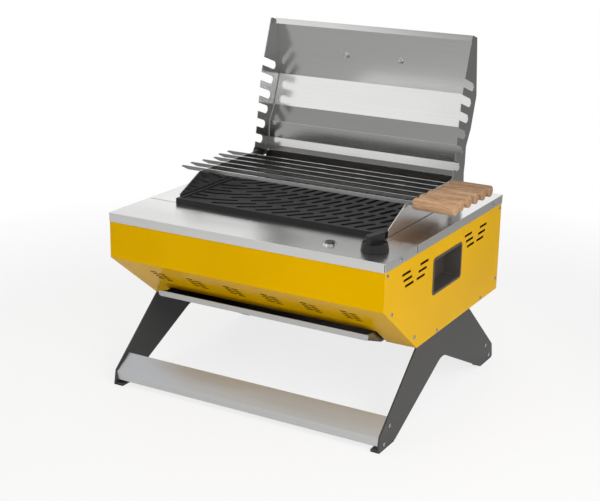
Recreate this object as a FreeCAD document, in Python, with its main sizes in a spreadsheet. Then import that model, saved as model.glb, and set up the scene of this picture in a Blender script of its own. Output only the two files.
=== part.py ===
import FreeCAD, Part
import math
import os
from collections import namedtuple
from types import SimpleNamespace

import Sketcher
from FreeCAD import Placement, Rotation, Vector

# Tabletop electric barbecue grill with skewers, a comb-sided lid and a fat drawer.
# Lengths are millimetres. While modelling, x is 0 at the middle of the body, y is 0 at the
# body's front and z is 0 on the table. The finished pieces move to the datum under the grill.

SIZES = {
    # Clearance between pieces that fit into one another
    "fit_gap": 0.3,
    # Painted body and its bright top
    "body_width": 560,
    "body_depth": 520,
    "body_top": 341,
    "body_bottom": 147,
    "sheet": 1.2,
    "front_fold_height": 255.4,
    "underside_start": 139.6,
    "hem": 14,
    "skirt_height": 16.6,
    "seam_back": 122.2,
    "seam_gap": 0.5,
    "top_seam": 2.4,
    "corner_slit": 0.8,
    "shelf_width": 59,
    "opening_back": 391.8,
    # Slots in the side panels
    "vent_length": 34.5,
    "vent_height": 4.5,
    "vent_top": 301,
    "vent_row_step": 11.5,
    "vent_group_front": 121.8,
    "vent_group_step": 269.4,
    "vent_spread": 36.5,
    "vent_shift": 6.7,
    # Slots in the sloping front
    "slot_length": 13.5,
    "slot_height": 5,
    "slot_first": 38.5,
    "slot_row_step": 10.5,
    "slot_column_step": 16,
    "slot_stagger": 5.25,
    "slot_group_step": 79,
    # Notch for the fat drawer and the drawer itself
    "notch_margin": 1,
    "notch_top": 180.5,
    "tray_gap": 6,
    "tray_gauge": 1,
    "tray_floor": 148.5,
    "tray_front": 68,
    "tray_scoop_height": 172,
    "tray_scoop_back": 130,
    "tray_side_height": 178,
    "tray_back": 395,
    "tray_shoulder": 15,
    "lip_gap": 1,
    "lip_height": 182.5,
    "lip_gauge": 1.2,
    "lip_corner": 5,
    "runner_gap": 1,
    "runner_height": 22,
    "runner_foot": 12,
    "runner_start": 165,
    # Grips sunk in the side panels
    "grip_front": 199.5,
    "grip_length": 122.5,
    "grip_low": 229,
    "grip_height": 64.5,
    "grip_depth": 35,
    "grip_wall": 2,
    "grip_rim": 2.5,
    "grip_corner": 4.5,
    # Legs, feet and crossbars
    "leg_gauge": 3,
    "leg_toe_height": 30,
    "leg_toe_back": 5,
    "leg_foot_length": 66,
    "leg_arch_height": 94.8,
    "leg_arch_radius": 42,
    "leg_flange": 20,
    "leg_flange_inset": 8,
    "foot_flange": 14,
    "foot_pad": 2,
    "toe_inset": 4,
    "bar_gauge": 1.5,
    "bar_top_back": 41.8,
    "bar_top_height": 53.3,
    "bar_fold_back": 5.6,
    "bar_fold_height": 27.4,
    "bar_low_back": 6.9,
    "bar_low_height": 10.8,
    # Firebox, heating element and its supports
    "tub_gauge": 1,
    "tub_gap": 1.5,
    "tub_front": 124,
    "tub_back": 391,
    "tub_bottom": 205,
    "tub_rim": 18,
    "drain_inset": 69.5,
    "drain_depth": 120,
    "element_width": 7,
    "element_drop": 23,
    "element_step": 130,
    "element_front": 192,
    "element_inset": 29.5,
    "bracket_gauge": 1.5,
    "bracket_drop": 8,
    "bracket_step": 230,
    "block_width": 15,
    "block_length": 18,
    "block_height": 20,
    # Cast plate with arcs of slots
    "plate_gap": 5,
    "plate_front": 119,
    "plate_back": 395,
    "plate_height": 10,
    "plate_border": 8,
    "plate_recess": 2,
    "plate_rim": 6,
    "plate_hollow": 4,
    "arc_centre_inset": 1,
    "arc_centre_back": 365,
    "arc_step": 21.7,
    "arc_slot": 9,
    "arc_end": 2.6,
    "arc_chord": 32,
    "band_front": 136.5,
    "band_depth": 36,
    "band_step": 50.5,
    "lift_hole_inset": 24,
    "lift_hole_back": 131.5,
    "lift_hole_length": 15,
    "lift_hole_width": 6,
    # Side rests that carry the skewers and the lid's hinge
    "rest_gauge": 1.5,
    "rest_bottom": 326,
    "rest_toe": 134,
    "rest_toe_height": 355,
    "rest_shoulder": 202,
    "rest_top": 385.5,
    "rest_arm": 452,
    "rest_arm_height": 368.6,
    "stop_depth": 8,
    "stop_reach": 4,
    "notch_slot": 3.6,
    # Skewers
    "skewer_first": 220.1,
    "skewer_step": 31,
    "blade_height": 7,
    "blade_gauge": 3,
    "blade_low": 380.5,
    "blade_taper": 16,
    "blade_point": 4.5,
    "blade_shoulder": 4,
    "tang": 30,
    "tang_gap": 0.1,
    "handle_gap": 4,
    "handle_length": 82,
    "handle_diameter": 21.5,
    "handle_nose": 2.5,
    # Hinge and lid, drawn closed and then opened about the hinge
    "hinge_back": 410,
    "hinge_height": 377,
    "hinge_pin": 6,
    "hinge_gap": 0.05,
    "hinge_ear": 12,
    "hinge_ear_rise": 10,
    "hinge_head": 11,
    "hinge_head_gauge": 1.5,
    "lid_open": 109,
    "lid_gap": 0.7,
    "lid_flange_low": -22.5,
    "lid_lip": 10,
    "lid_front": -281,
    "lid_front_height": -11.3,
    "lid_crest_front": -178.5,
    "lid_crest_front_height": 37,
    "lid_crest_back": -113.5,
    "lid_crest_back_height": 38,
    "lid_valley": -78,
    "lid_valley_height": 30,
    "lid_ridge": -45,
    "lid_ridge_height": 40,
    "lid_back_edge": -29,
    "lid_back_edge_height": 42.5,
    "lid_tail": -17,
    "lid_tail_height": 15.6,
    "lid_heel": -12,
    "lid_heel_height": 50,
    "lid_side_low": -35,
    "lid_corner": 5,
    "lid_flange_inset": 2.8,
    "comb_slot": 16.5,
    "comb_top": 17,
    "comb_rise_start": -165,
    "comb_rise_end": -17,
    "comb_rise_height": -8,
    "lid_handle_spread": 60,
    "lid_handle_back": 53.3,
    "lid_handle_leg": 12,
    "lid_handle_foot": 18,
    "lid_handle_reach": 34,
    "lid_handle_grip": 14,
    "lid_handle_length": 170,
    "lid_screw_washer": 13,
    "lid_screw_nut": 9,
    "lid_screw_height": 5,
    # Guard behind the lid
    "guard_back": 462,
    "guard_gap": 4,
    "guard_top": 380,
    "guard_foot": 17,
    "tab_back": 455,
    "tab_top": 366.5,
    "tab_step": 88,
    "tab_top_width": 17,
    "tab_foot_width": 27,
    # Knob, thermostat, button and switch
    "knob_inset": 47,
    "knob_back": 56,
    "knob_diameter": 48.8,
    "knob_top_diameter": 44,
    "knob_height": 14,
    "knob_recess": 2,
    "knob_wing_height": 15,
    "knob_wing_length": 43,
    "knob_wing_width": 12,
    "knob_turn": 14,
    "knob_gap": 0.3,
    "shaft_width": 5,
    "shaft_gap": 0.05,
    "shaft_insert": 8,
    "shaft_drop": 16,
    "shaft_hole": 10,
    "thermostat_width": 40,
    "thermostat_depth": 36,
    "thermostat_height": 24,
    "button_inset": 128,
    "button_back": 48,
    "bezel_diameter": 23,
    "bezel_height": 2.5,
    "button_diameter": 16.6,
    "button_gap": 0.25,
    "button_raise": 0.8,
    "button_height": 5,
    "button_travel": 2.5,
    "stem_width": 5,
    "stem_gap": 0.4,
    "switch_width": 23,
    "switch_height": 20,
    # Mains inlet in the back
    "inlet_inset": 80,
    "inlet_height": 200,
    "inlet_flange_width": 48,
    "inlet_flange_height": 28,
    "inlet_flange_gauge": 2.5,
    "inlet_body_width": 28,
    "inlet_body_height": 21,
    "inlet_body_depth": 18,
    "inlet_wall": 2,
    "pin_width": 2,
    "pin_height": 4,
    "pin_step": 7,
    "pin_length": 13,
    # Screw heads, set in from the edges that they hold
    "screw_diameter": 8,
    "screw_head": 1.8,
    "screw_inset": 10.5,
    "top_screw_drop": 24.6,
    "skirt_screw_drop": 8,
    "skirt_screw_front": 58.7,
    "skirt_screw_back": 50.3,
    "fold_screw_front": 32.9,
    "fold_screw_drop": 13.4,
    "slope_screw_inset": 11.6,
    "corner_screw_rise": 24,
    "floor_screw_rise": 5.5,
    "floor_screw_front": 226,
    "floor_screw_back": 86,
    "bar_screw_back": 41,
    "bar_screw_height": 38,
    "toe_screw_back": 21,
    "toe_screw_height": 11,
    # Datum: the middle of the outer box on the table
    "datum_right": 14.3,
    "datum_back": 269.05,
}

TIP_REACHES = (52, 52.5, 45.6, 39.3, 47.7, 46.5)
HANDLE_SHIFTS = (1.6, -0.6, 1, 1.8, 3.2, 4.6)
PLANE_SIGN = {"XY_Plane": 1, "YZ_Plane": 1, "XZ_Plane": -1}
SLOT_GROUPS = 6
SLOT_ROWS = 4
VENT_ROWS = 3
GUARD_TABS = 5
HEAD_SIDES = 10
NUT_SIDES = 6
HANDLE_SIDES = 22
KNOB_SIDES = 48
WING_SIDES = 24
BUTTON_SIDES = 40

Round = namedtuple("Round", "x y radius")
Tunnel = namedtuple("Tunnel", "middle width low top")


class Size:
    """A number that carries the spreadsheet expression giving it."""

    def __init__(self, value, text):
        self.value = float(value)
        self.text = text

    def __add__(self, other):
        other = as_size(other)
        return Size(self.value + other.value, f"({self.text} + {other.text})")

    def __sub__(self, other):
        other = as_size(other)
        return Size(self.value - other.value, f"({self.text} - {other.text})")

    def __mul__(self, other):
        other = as_size(other)
        return Size(self.value * other.value, f"({self.text} * {other.text})")

    def __truediv__(self, other):
        other = as_size(other)
        return Size(self.value / other.value, f"({self.text} / {other.text})")

    def __neg__(self):
        return Size(-self.value, f"(-{self.text})")

    def __radd__(self, other):
        return as_size(other) + self

    def __rsub__(self, other):
        return as_size(other) - self

    def __rmul__(self, other):
        return as_size(other) * self


def as_size(item):
    """Wraps a plain number so that it can join an expression."""
    if isinstance(item, Size):
        return item
    return Size(item, f"({item})")


def number(item):
    """The present value of a size or a plain number."""
    return item.value if isinstance(item, Size) else float(item)


def hypot(across, along):
    """The length of a step, as a size."""
    return Size(math.hypot(across.value, along.value), f"hypot({across.text}; {along.text})")


def slope_of(across, along):
    """The angle of a step above the horizontal in degrees, as a size."""
    angle = math.degrees(math.atan2(along.value, across.value))
    return Size(angle, f"atan2({along.text}; {across.text})")


def bind(target, path, size):
    """Ties a property to the spreadsheet."""
    if isinstance(size, Size):
        target.setExpression(path, size.text)


def make_sheet(document):
    """Writes the driving dimensions and returns them as sizes."""
    sheet = document.addObject("Spreadsheet::Sheet", "Sizes")
    for row, (name, value) in enumerate(SIZES.items(), start=1):
        sheet.set(f"A{row}", name)
        sheet.set(f"B{row}", str(value))
        sheet.setAlias(f"B{row}", name)
    document.recompute()
    return SimpleNamespace(**{name: Size(getattr(sheet, name), f"Sizes.{name}") for name in SIZES})


doc = FreeCAD.newDocument("BarbecueGrill")
s = make_sheet(doc)
kept = []

half_width = s.body_width / 2
inner_half = half_width - s.sheet
knob_right = half_width - s.knob_inset
button_right = half_width - s.button_inset
inlet_right = half_width - s.inlet_inset
under_top = s.body_top - s.sheet
skirt_low = s.body_top - s.skirt_height
panel_floor = s.body_bottom + s.sheet
opening_half = half_width - s.shelf_width
notch_half = opening_half + s.notch_margin
tray_half = notch_half - s.tray_gap
lip_half = notch_half - s.lip_gap
tub_half = opening_half - s.tub_gap
drain_half = tub_half - s.drain_inset
element_reach = tub_half - s.element_inset
plate_half = opening_half - s.plate_gap
guard_half = opening_half - s.guard_gap
lid_half = opening_half - s.lid_gap
lid_flange_half = lid_half - s.lid_flange_inset
handle_start = opening_half + s.handle_gap
element_height = s.body_top - s.element_drop
front_slope = slope_of(s.underside_start, s.front_fold_height - s.body_bottom)


def move_to_datum(item, x=0, y=0, z=0, axis=(0, 0, 1), turn=0):
    """Gives a finished piece its place over the datum."""
    item.Placement = Placement(Vector(), Rotation(Vector(*axis), max(number(turn), 1)))
    bind(item, "Placement.Base.x", x - s.datum_right)
    bind(item, "Placement.Base.y", y - s.datum_back)
    bind(item, "Placement.Base.z", as_size(z))
    bind(item, "Placement.Rotation.Angle", as_size(turn))
    kept.append(item)


def new_body(label):
    """An empty body with its own label."""
    body = doc.addObject("PartDesign::Body", label)
    body.Label = label
    return body


def new_sketch(body, role, base=(0, 0, 0), axis=(1, 0, 0), tilt=None):
    """A sketch on one of the body's own origin planes, shifted and tilted."""
    plane = next(item for item in body.Origin.OriginFeatures if item.Role == role)
    sketch = body.newObject("Sketcher::SketchObject", body.Label + "_sketch")
    sketch.AttachmentSupport = [(plane, "")]
    sketch.MapMode = "FlatFace"
    turn = Rotation(Vector(*axis), number(tilt)) if tilt is not None else Rotation()
    sketch.AttachmentOffset = Placement(Vector(*[number(item) for item in base]), turn)
    for letter, size in zip("xyz", base):
        bind(sketch, f"AttachmentOffset.Base.{letter}", size)
    if tilt is not None:
        bind(sketch, "AttachmentOffset.Rotation.Angle", tilt)
    return sketch


def fix_point(sketch, line, end, x, y):
    """Holds a sketch point at its place from the sheet."""
    for kind, axis, size in (("DistanceX", -2, x), ("DistanceY", -1, y)):
        if isinstance(size, Size) or abs(size) > 0:
            index = sketch.addConstraint(Sketcher.Constraint(kind, -1, 1, line, end, number(size)))
            bind(sketch, f"Constraints[{index}]", size)
        else:
            sketch.addConstraint(Sketcher.Constraint("PointOnObject", line, end, axis))


def add_lines(sketch, points, closed):
    """Draws straight lines through points and joins their ends."""
    places = [Vector(number(x), number(y), 0) for x, y in points]
    ends = places[1:] + places[:1] if closed else places[1:]
    lines = [sketch.addGeometry(Part.LineSegment(a, b)) for a, b in zip(places, ends)]
    for before, after in zip(lines, lines[1:] + (lines[:1] if closed else [])):
        sketch.addConstraint(Sketcher.Constraint("Coincident", before, 2, after, 1))
    return lines


def add_polygon(sketch, points):
    """A closed outline whose corners all come from the sheet."""
    lines = add_lines(sketch, points, True)
    for line, (x, y) in zip(lines, points):
        fix_point(sketch, line, 1, x, y)


def add_round(sketch, circle):
    """A circle with its centre and radius from the sheet."""
    centre = Vector(number(circle.x), number(circle.y), 0)
    ring = sketch.addGeometry(Part.Circle(centre, Vector(0, 0, 1), number(circle.radius)))
    fix_point(sketch, ring, 3, circle.x, circle.y)
    index = sketch.addConstraint(Sketcher.Constraint("Radius", ring, number(circle.radius)))
    bind(sketch, f"Constraints[{index}]", circle.radius)


def add_tunnel(sketch, shape):
    """An upright slot with a round upper end."""
    half = number(shape.width) / 2
    middle = number(shape.middle)
    low = number(shape.low)
    spring = number(shape.top) - half
    corners = ((middle - half, low), (middle + half, low), (middle + half, spring))
    left_start = Vector(middle - half, spring, 0)
    places = [Vector(x, y, 0) for x, y in corners]
    floor = sketch.addGeometry(Part.LineSegment(places[0], places[1]))
    right = sketch.addGeometry(Part.LineSegment(places[1], places[2]))
    arch = Part.Circle(Vector(middle, spring, 0), Vector(0, 0, 1), half)
    crown = sketch.addGeometry(Part.ArcOfCircle(arch, 0, math.pi))
    left = sketch.addGeometry(Part.LineSegment(left_start, places[0]))
    for rule in (
        ("Coincident", floor, 2, right, 1),
        ("Coincident", left, 2, floor, 1),
        ("Vertical", right),
        ("Vertical", left),
        ("Tangent", right, 2, crown, 1),
        ("Tangent", crown, 2, left, 1),
    ):
        sketch.addConstraint(Sketcher.Constraint(*rule))
    fix_point(sketch, floor, 1, shape.middle - shape.width / 2, shape.low)
    fix_point(sketch, floor, 2, shape.middle + shape.width / 2, shape.low)
    rise = shape.top - shape.width / 2
    index = sketch.addConstraint(Sketcher.Constraint("DistanceY", -1, 1, crown, 3, number(rise)))
    bind(sketch, f"Constraints[{index}]", rise)


def draw(sketch, shapes):
    """Draws polygons, circles and round-ended slots."""
    for shape in shapes:
        if isinstance(shape, Round):
            add_round(sketch, shape)
        elif isinstance(shape, Tunnel):
            add_tunnel(sketch, shape)
        else:
            add_polygon(sketch, shape)


def extrude(body, kind, sketch, length, with_normal):
    """Adds or cuts a straight extrusion and checks that it took effect."""
    before = body.Shape.Volume if body.Tip else 0
    feature = body.newObject(f"PartDesign::{kind}", f"{body.Label}_{kind.lower()}")
    feature.Profile = sketch
    feature.Length = number(length)
    bind(feature, "Length", length)
    feature.Reversed = with_normal if kind == "Pocket" else not with_normal
    doc.recompute()
    grew = body.Shape.Volume - before
    if (grew <= 0) == (kind == "Pad"):
        raise RuntimeError(f"{feature.Name} changed nothing")
    return feature


def add(body, role, at, shapes, length):
    """Pads shapes from a plane at a given place, towards the plane's positive side."""
    sketch = new_sketch(body, role, (0, 0, PLANE_SIGN[role] * as_size(at)))
    draw(sketch, shapes)
    return extrude(body, "Pad", sketch, length, PLANE_SIGN[role] > 0)


def cut(body, role, at, shapes, length):
    """Pockets shapes from a plane at a given place, towards the plane's positive side."""
    sketch = new_sketch(body, role, (0, 0, PLANE_SIGN[role] * as_size(at)))
    draw(sketch, shapes)
    return extrude(body, "Pocket", sketch, length, PLANE_SIGN[role] > 0)


def repeat(body, feature, axis_role, spacing, count):
    """Repeats one feature in a row along an axis of the body."""
    row = body.newObject("PartDesign::LinearPattern", feature.Name + "_row")
    row.Originals = [feature]
    row.Direction = (next(item for item in body.Origin.OriginFeatures if item.Role == axis_role), [""])
    row.Length = number(spacing) * (count - 1)
    row.Occurrences = count
    bind(row, "Length", spacing * (count - 1))
    body.Tip = row
    doc.recompute()
    return row


def round_corners(body, role, corners, radius):
    """Rounds the edges that stand on the given corners of a plane."""
    flatten = {
        "XY_Plane": lambda point: (point.x, point.y),
        "YZ_Plane": lambda point: (point.y, point.z),
        "XZ_Plane": lambda point: (point.x, point.z),
    }[role]
    wanted = [(number(x), number(y)) for x, y in corners]
    names = []
    for index, edge in enumerate(body.Tip.Shape.Edges, start=1):
        spots = [flatten(vertex.Point) for vertex in edge.Vertexes]
        if len(spots) == 2 and any(all(math.dist(spot, corner) < 0.001 for spot in spots) for corner in wanted):
            names.append(f"Edge{index}")
    if len(names) < len(wanted):
        raise RuntimeError(f"{body.Label}: a corner to round is missing")
    base = body.Tip
    fillet = body.newObject("PartDesign::Fillet", body.Label + "_fillet")
    fillet.Base = (base, names)
    fillet.Radius = number(radius)
    bind(fillet, "Radius", radius)
    doc.recompute()


def box(x0, y0, x1, y1):
    """The four corners of an upright rectangle."""
    return [(x0, y0), (x1, y0), (x1, y1), (x0, y1)]


def square(x, y, width):
    """A square about a middle."""
    return box(x - width / 2, y - width / 2, x + width / 2, y + width / 2)


def ring(x, y, radius, sides):
    """A regular polygon about a middle, for small heads and nuts."""
    angles = [2 * math.pi * side / sides for side in range(sides)]
    return [(x + radius * round(math.cos(angle), 9), y + radius * round(math.sin(angle), 9)) for angle in angles]


def oval(x, y, width, length, sides):
    """A ring stretched along y, for wings and finger slots."""
    half_step = math.pi / sides
    angles = [half_step * (2 * side + 1) for side in range(sides)]
    reach = (length - width) / 2
    points = []
    for angle in angles:
        middle = y + math.copysign(1, math.sin(angle)) * reach
        points.append((x + width / 2 * round(math.cos(angle), 9), middle + width / 2 * round(math.sin(angle), 9)))
    return points


def mirrored(points, width):
    """The same outline seen from the other end of a depth."""
    return [(width - x, y) for x, y in points]


def offset_path(path, gauge):
    """Where a path's corners land when it shifts sideways by a gauge."""
    places = [(number(x), number(y)) for x, y in path]
    normals = []
    for (x0, y0), (x1, y1) in zip(places, places[1:]):
        reach = math.dist((x0, y0), (x1, y1))
        normals.append(((y0 - y1) / reach, (x1 - x0) / reach))
    shifted = []
    for index, (x, y) in enumerate(places):
        first = normals[max(index - 1, 0)]
        second = normals[min(index, len(normals) - 1)]
        share = number(gauge) / (1 + first[0] * second[0] + first[1] * second[1])
        shifted.append((x + share * (first[0] + second[0]), y + share * (first[1] + second[1])))
    return shifted


def bend_sheet(body, path, gauge, start, length):
    """A sheet bent along a path in the side view and running across the width."""
    sketch = new_sketch(body, "YZ_Plane", (0, 0, start))
    face = add_lines(sketch, path, False)
    back = add_lines(sketch, offset_path(path, gauge), False)
    for line, (x, y) in zip(face, path):
        fix_point(sketch, line, 1, x, y)
    fix_point(sketch, face[-1], 2, *path[-1])
    shifted = offset_path(path, gauge)
    for (line, end), place in (((face[0], 1), shifted[0]), ((face[-1], 2), shifted[-1])):
        edge_start = sketch.getPoint(line, end)
        edge = sketch.addGeometry(Part.LineSegment(edge_start, Vector(*place, 0)))
        partner = back[0] if end == 1 else back[-1]
        sketch.addConstraint(Sketcher.Constraint("Coincident", edge, 1, line, end))
        sketch.addConstraint(Sketcher.Constraint("Coincident", edge, 2, partner, end))
        sketch.addConstraint(Sketcher.Constraint("Perpendicular", edge, line))
    for front_line, back_line in zip(face, back):
        sketch.addConstraint(Sketcher.Constraint("Parallel", front_line, back_line))
        index = sketch.addConstraint(Sketcher.Constraint("Distance", back_line, 1, front_line, number(gauge)))
        bind(sketch, f"Constraints[{index}]", gauge)
    return extrude(body, "Pad", sketch, length, True)


def side_of(side, inner, gauge):
    """Where a plate of a given gauge starts, on the right (1) or the left (-1)."""
    return inner if side > 0 else -(inner + gauge)


def front_panel():
    """Yellow front: hem, upright, slope and lower hem, with staggered slots and the drawer notch."""
    body = new_body("front_panel")
    path = [
        (s.hem, under_top),
        (0, under_top),
        (0, s.front_fold_height),
        (s.underside_start, s.body_bottom),
        (s.underside_start + s.hem, s.body_bottom),
    ]
    bend_sheet(body, path, s.sheet, -inner_half, 2 * inner_half)
    cut(body, "XZ_Plane", s.tray_front, [box(-notch_half, 0, notch_half, s.notch_top)],
        s.underside_start)
    sketch = new_sketch(body, "XY_Plane", (0, 0, s.front_fold_height), (-1, 0, 0), front_slope)
    first_group = -(SLOT_GROUPS - 1) / 2 * s.slot_group_step
    for column in range(2):
        middle = first_group + (column - 0.5) * s.slot_column_step
        for line in range(SLOT_ROWS):
            down = s.slot_first + line * s.slot_row_step + column * s.slot_stagger
            add_polygon(sketch, box(middle - s.slot_length / 2, down - s.slot_height / 2,
                                    middle + s.slot_length / 2, down + s.slot_height / 2))
    slots = extrude(body, "Pocket", sketch, 3 * s.sheet, True)
    repeat(body, slots, "X_Axis", s.slot_group_step, SLOT_GROUPS)
    move_to_datum(body)


def side_panel(label, side):
    """Yellow five-sided side with vents and the opening for its grip."""
    body = new_body(label)
    outline = [
        (0, under_top),
        (0, s.front_fold_height),
        (s.underside_start, s.body_bottom),
        (s.body_depth, s.body_bottom),
        (s.body_depth, under_top),
    ]
    at = side_of(side, inner_half, s.sheet)
    add(body, "YZ_Plane", at, [outline], s.sheet)
    opening = box(s.grip_front, s.grip_low, s.grip_front + s.grip_length, s.grip_low + s.grip_height)
    cut(body, "YZ_Plane", at, [opening], s.sheet)
    round_corners(body, "YZ_Plane", opening, s.grip_corner)
    slots = []
    for line in range(VENT_ROWS):
        height = s.vent_top - line * s.vent_row_step
        for column in (-1, 1):
            middle = s.vent_group_front + column * (s.vent_spread - line * s.vent_shift)
            slots.append(box(middle - s.vent_length / 2, height - s.vent_height / 2,
                             middle + s.vent_length / 2, height + s.vent_height / 2))
    group = cut(body, "YZ_Plane", at, slots, s.sheet)
    repeat(body, group, "Y_Axis", s.vent_group_step, 2)
    move_to_datum(body)


def rear_panel():
    """Back of the body with an upper hem and the cut-out for the mains inlet."""
    body = new_body("rear_panel")
    path = [
        (s.body_depth, s.body_bottom),
        (s.body_depth, under_top),
        (s.body_depth - s.hem, under_top),
    ]
    bend_sheet(body, path, s.sheet, -inner_half, 2 * inner_half)
    across = s.inlet_body_width / 2 + s.fit_gap
    upright = s.inlet_body_height / 2 + s.fit_gap
    hole = box(inlet_right - across, s.inlet_height - upright, inlet_right + across, s.inlet_height + upright)
    cut(body, "XZ_Plane", s.body_depth - s.sheet, [hole], s.sheet)
    move_to_datum(body)


def bottom_panel():
    """Flat underside behind the front's lower hem."""
    body = new_body("bottom_panel")
    start = s.underside_start + s.hem + s.seam_gap
    add(body, "XY_Plane", s.body_bottom, [box(-inner_half, start, inner_half, s.body_depth - s.sheet)], s.sheet)
    move_to_datum(body)


def top_front_panel():
    """Bright shelf that carries the knob and button, with a skirt on three sides."""
    body = new_body("top_front_panel")
    outer = half_width + s.sheet
    add(body, "XY_Plane", skirt_low, [box(-outer, -s.sheet, outer, s.seam_back)], s.skirt_height)
    cut(body, "XY_Plane", skirt_low, [box(-half_width, 0, half_width, s.seam_back)], s.skirt_height - s.sheet)
    slit_start = half_width - s.corner_slit
    slits = [box(side * slit_start, -s.sheet, side * outer, 0) for side in (1, -1)]
    cut(body, "XY_Plane", skirt_low, slits, s.skirt_height - s.sheet)
    holes = [
        Round(knob_right, s.knob_back, s.shaft_hole / 2),
        Round(button_right, s.button_back, s.button_diameter / 2 + s.button_gap),
    ]
    cut(body, "XY_Plane", under_top, holes, s.sheet)
    move_to_datum(body)


def top_side_panel(label, side):
    """Bright strip beside the opening, with a skirt at its side and back."""
    body = new_body(label)
    start = s.seam_back + s.top_seam
    edges = (side * opening_half, side * (half_width + s.sheet))
    inner = (side * opening_half, side * half_width)
    add(body, "XY_Plane", skirt_low, [box(edges[0], start, edges[1], s.body_depth + s.sheet)], s.skirt_height)
    cut(body, "XY_Plane", skirt_low, [box(inner[0], start, inner[1], s.body_depth)], s.skirt_height - s.sheet)
    slit = box(side * (half_width - s.corner_slit), s.body_depth, edges[1], s.body_depth + s.sheet)
    cut(body, "XY_Plane", skirt_low, [slit], s.skirt_height - s.sheet)
    move_to_datum(body)


def top_rear_panel():
    """Bright strip behind the opening, with a skirt at its back."""
    body = new_body("top_rear_panel")
    half = opening_half - s.seam_gap
    add(body, "XY_Plane", skirt_low, [box(-half, s.opening_back, half, s.body_depth + s.sheet)], s.skirt_height)
    cut(body, "XY_Plane", skirt_low, [box(-half, s.opening_back, half, s.body_depth)], s.skirt_height - s.sheet)
    move_to_datum(body)


def grip_cup(label, side):
    """Moulded cup sunk in the side panel to lift the grill by."""
    body = new_body(label)
    back = s.grip_front + s.grip_length
    top = s.grip_low + s.grip_height
    gap = s.fit_gap
    wall = s.grip_wall
    shell = box(s.grip_front + gap, s.grip_low + gap, back - gap, top - gap)
    rim = box(s.grip_front - s.grip_rim, s.grip_low - s.grip_rim, back + s.grip_rim, top + s.grip_rim)
    hollow = box(s.grip_front + wall, s.grip_low + wall, back - wall, top - wall)
    add(body, "YZ_Plane", side_of(side, half_width - s.grip_depth, s.grip_depth), [shell], s.grip_depth)
    add(body, "YZ_Plane", side_of(side, half_width, s.sheet), [rim], s.sheet)
    depth = s.grip_depth - wall + s.sheet
    cut(body, "YZ_Plane", side_of(side, half_width - s.grip_depth + wall, depth), [hollow], depth)
    round_corners(body, "YZ_Plane", hollow, s.grip_corner - wall)
    round_corners(body, "YZ_Plane", shell, s.grip_corner - gap)
    round_corners(body, "YZ_Plane", rim, s.grip_corner + s.grip_rim)
    move_to_datum(body)


def leg(label, side):
    """Splayed plate leg with an arch, an inward top flange and two foot flanges."""
    body = new_body(label)
    inner = half_width - s.leg_gauge
    middle = s.body_depth / 2
    front_half = [
        (s.underside_start, s.body_bottom),
        (s.leg_toe_back, s.leg_toe_height),
        (0, s.foot_pad),
        (s.leg_foot_length, s.foot_pad),
    ]
    outline = front_half + [(middle, s.leg_arch_height)] + mirrored(front_half, s.body_depth)[::-1]
    add(body, "YZ_Plane", side_of(side, inner, s.leg_gauge), [outline], s.leg_gauge)
    round_corners(body, "YZ_Plane", [(middle, s.leg_arch_height)], s.leg_arch_radius)
    inset = s.underside_start + s.leg_flange_inset
    flange = box(side * inner, inset, side * (inner - s.leg_flange), s.body_depth - inset)
    add(body, "XY_Plane", s.body_bottom - s.leg_gauge, [flange], s.leg_gauge)
    toes = []
    for start in (s.toe_inset, s.body_depth - s.leg_foot_length + s.toe_inset):
        length = s.leg_foot_length - 2 * s.toe_inset
        toes.append(box(side * inner, start, side * (inner - s.foot_flange), start + length))
    add(body, "XY_Plane", s.foot_pad, toes, s.leg_gauge)
    move_to_datum(body)


def foot_pads():
    """Four rubber pads under the legs."""
    body = new_body("foot_pads")
    pads = []
    length = s.leg_foot_length - 2 * s.toe_inset
    for side in (1, -1):
        for start in (s.toe_inset, s.body_depth - s.leg_foot_length + s.toe_inset):
            inside = half_width - s.leg_gauge - s.foot_flange
            pads.append(box(side * inside, start, side * half_width, start + length))
    add(body, "XY_Plane", 0, pads, s.foot_pad)
    move_to_datum(body)


def crossbar(label, at_back):
    """Bent bright strip between the legs."""
    body = new_body(label)
    path = [
        (s.bar_top_back, s.bar_top_height),
        (s.bar_fold_back, s.bar_fold_height),
        (s.bar_low_back, s.bar_low_height),
    ]
    if at_back:
        path = mirrored(path, s.body_depth)[::-1]
    reach = half_width - s.leg_gauge
    bend_sheet(body, path, s.bar_gauge, -reach, 2 * reach)
    move_to_datum(body)


def drip_tray():
    """Fat drawer with a scoop front, open on top."""
    body = new_body("drip_tray")
    gauge = s.tray_gauge
    shell = [
        (s.tray_scoop_back, s.tray_floor),
        (s.tray_back, s.tray_floor),
        (s.tray_back, s.tray_side_height),
        (s.tray_front + s.tray_shoulder, s.tray_side_height),
        (s.tray_front + gauge, s.lip_height),
        (s.tray_front, s.lip_height),
        (s.tray_front, s.tray_scoop_height),
    ]
    hollow = [
        (s.tray_scoop_back, s.tray_floor + gauge),
        (s.tray_back - gauge, s.tray_floor + gauge),
        (s.tray_back - gauge, s.lip_height + gauge),
        (s.tray_front + gauge, s.lip_height + gauge),
        (s.tray_front + gauge, s.tray_scoop_height + gauge),
    ]
    add(body, "YZ_Plane", -tray_half, [shell], 2 * tray_half)
    cut(body, "YZ_Plane", gauge - tray_half, [hollow], 2 * (tray_half - gauge))
    move_to_datum(body)


def tray_lip():
    """Bright strip across the front of the drawer."""
    body = new_body("tray_lip")
    strip = box(-lip_half, s.tray_scoop_height, lip_half, s.lip_height)
    add(body, "XZ_Plane", s.tray_front - s.lip_gauge, [strip], s.lip_gauge)
    round_corners(body, "XZ_Plane", strip[:2], s.lip_corner)
    move_to_datum(body)


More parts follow.
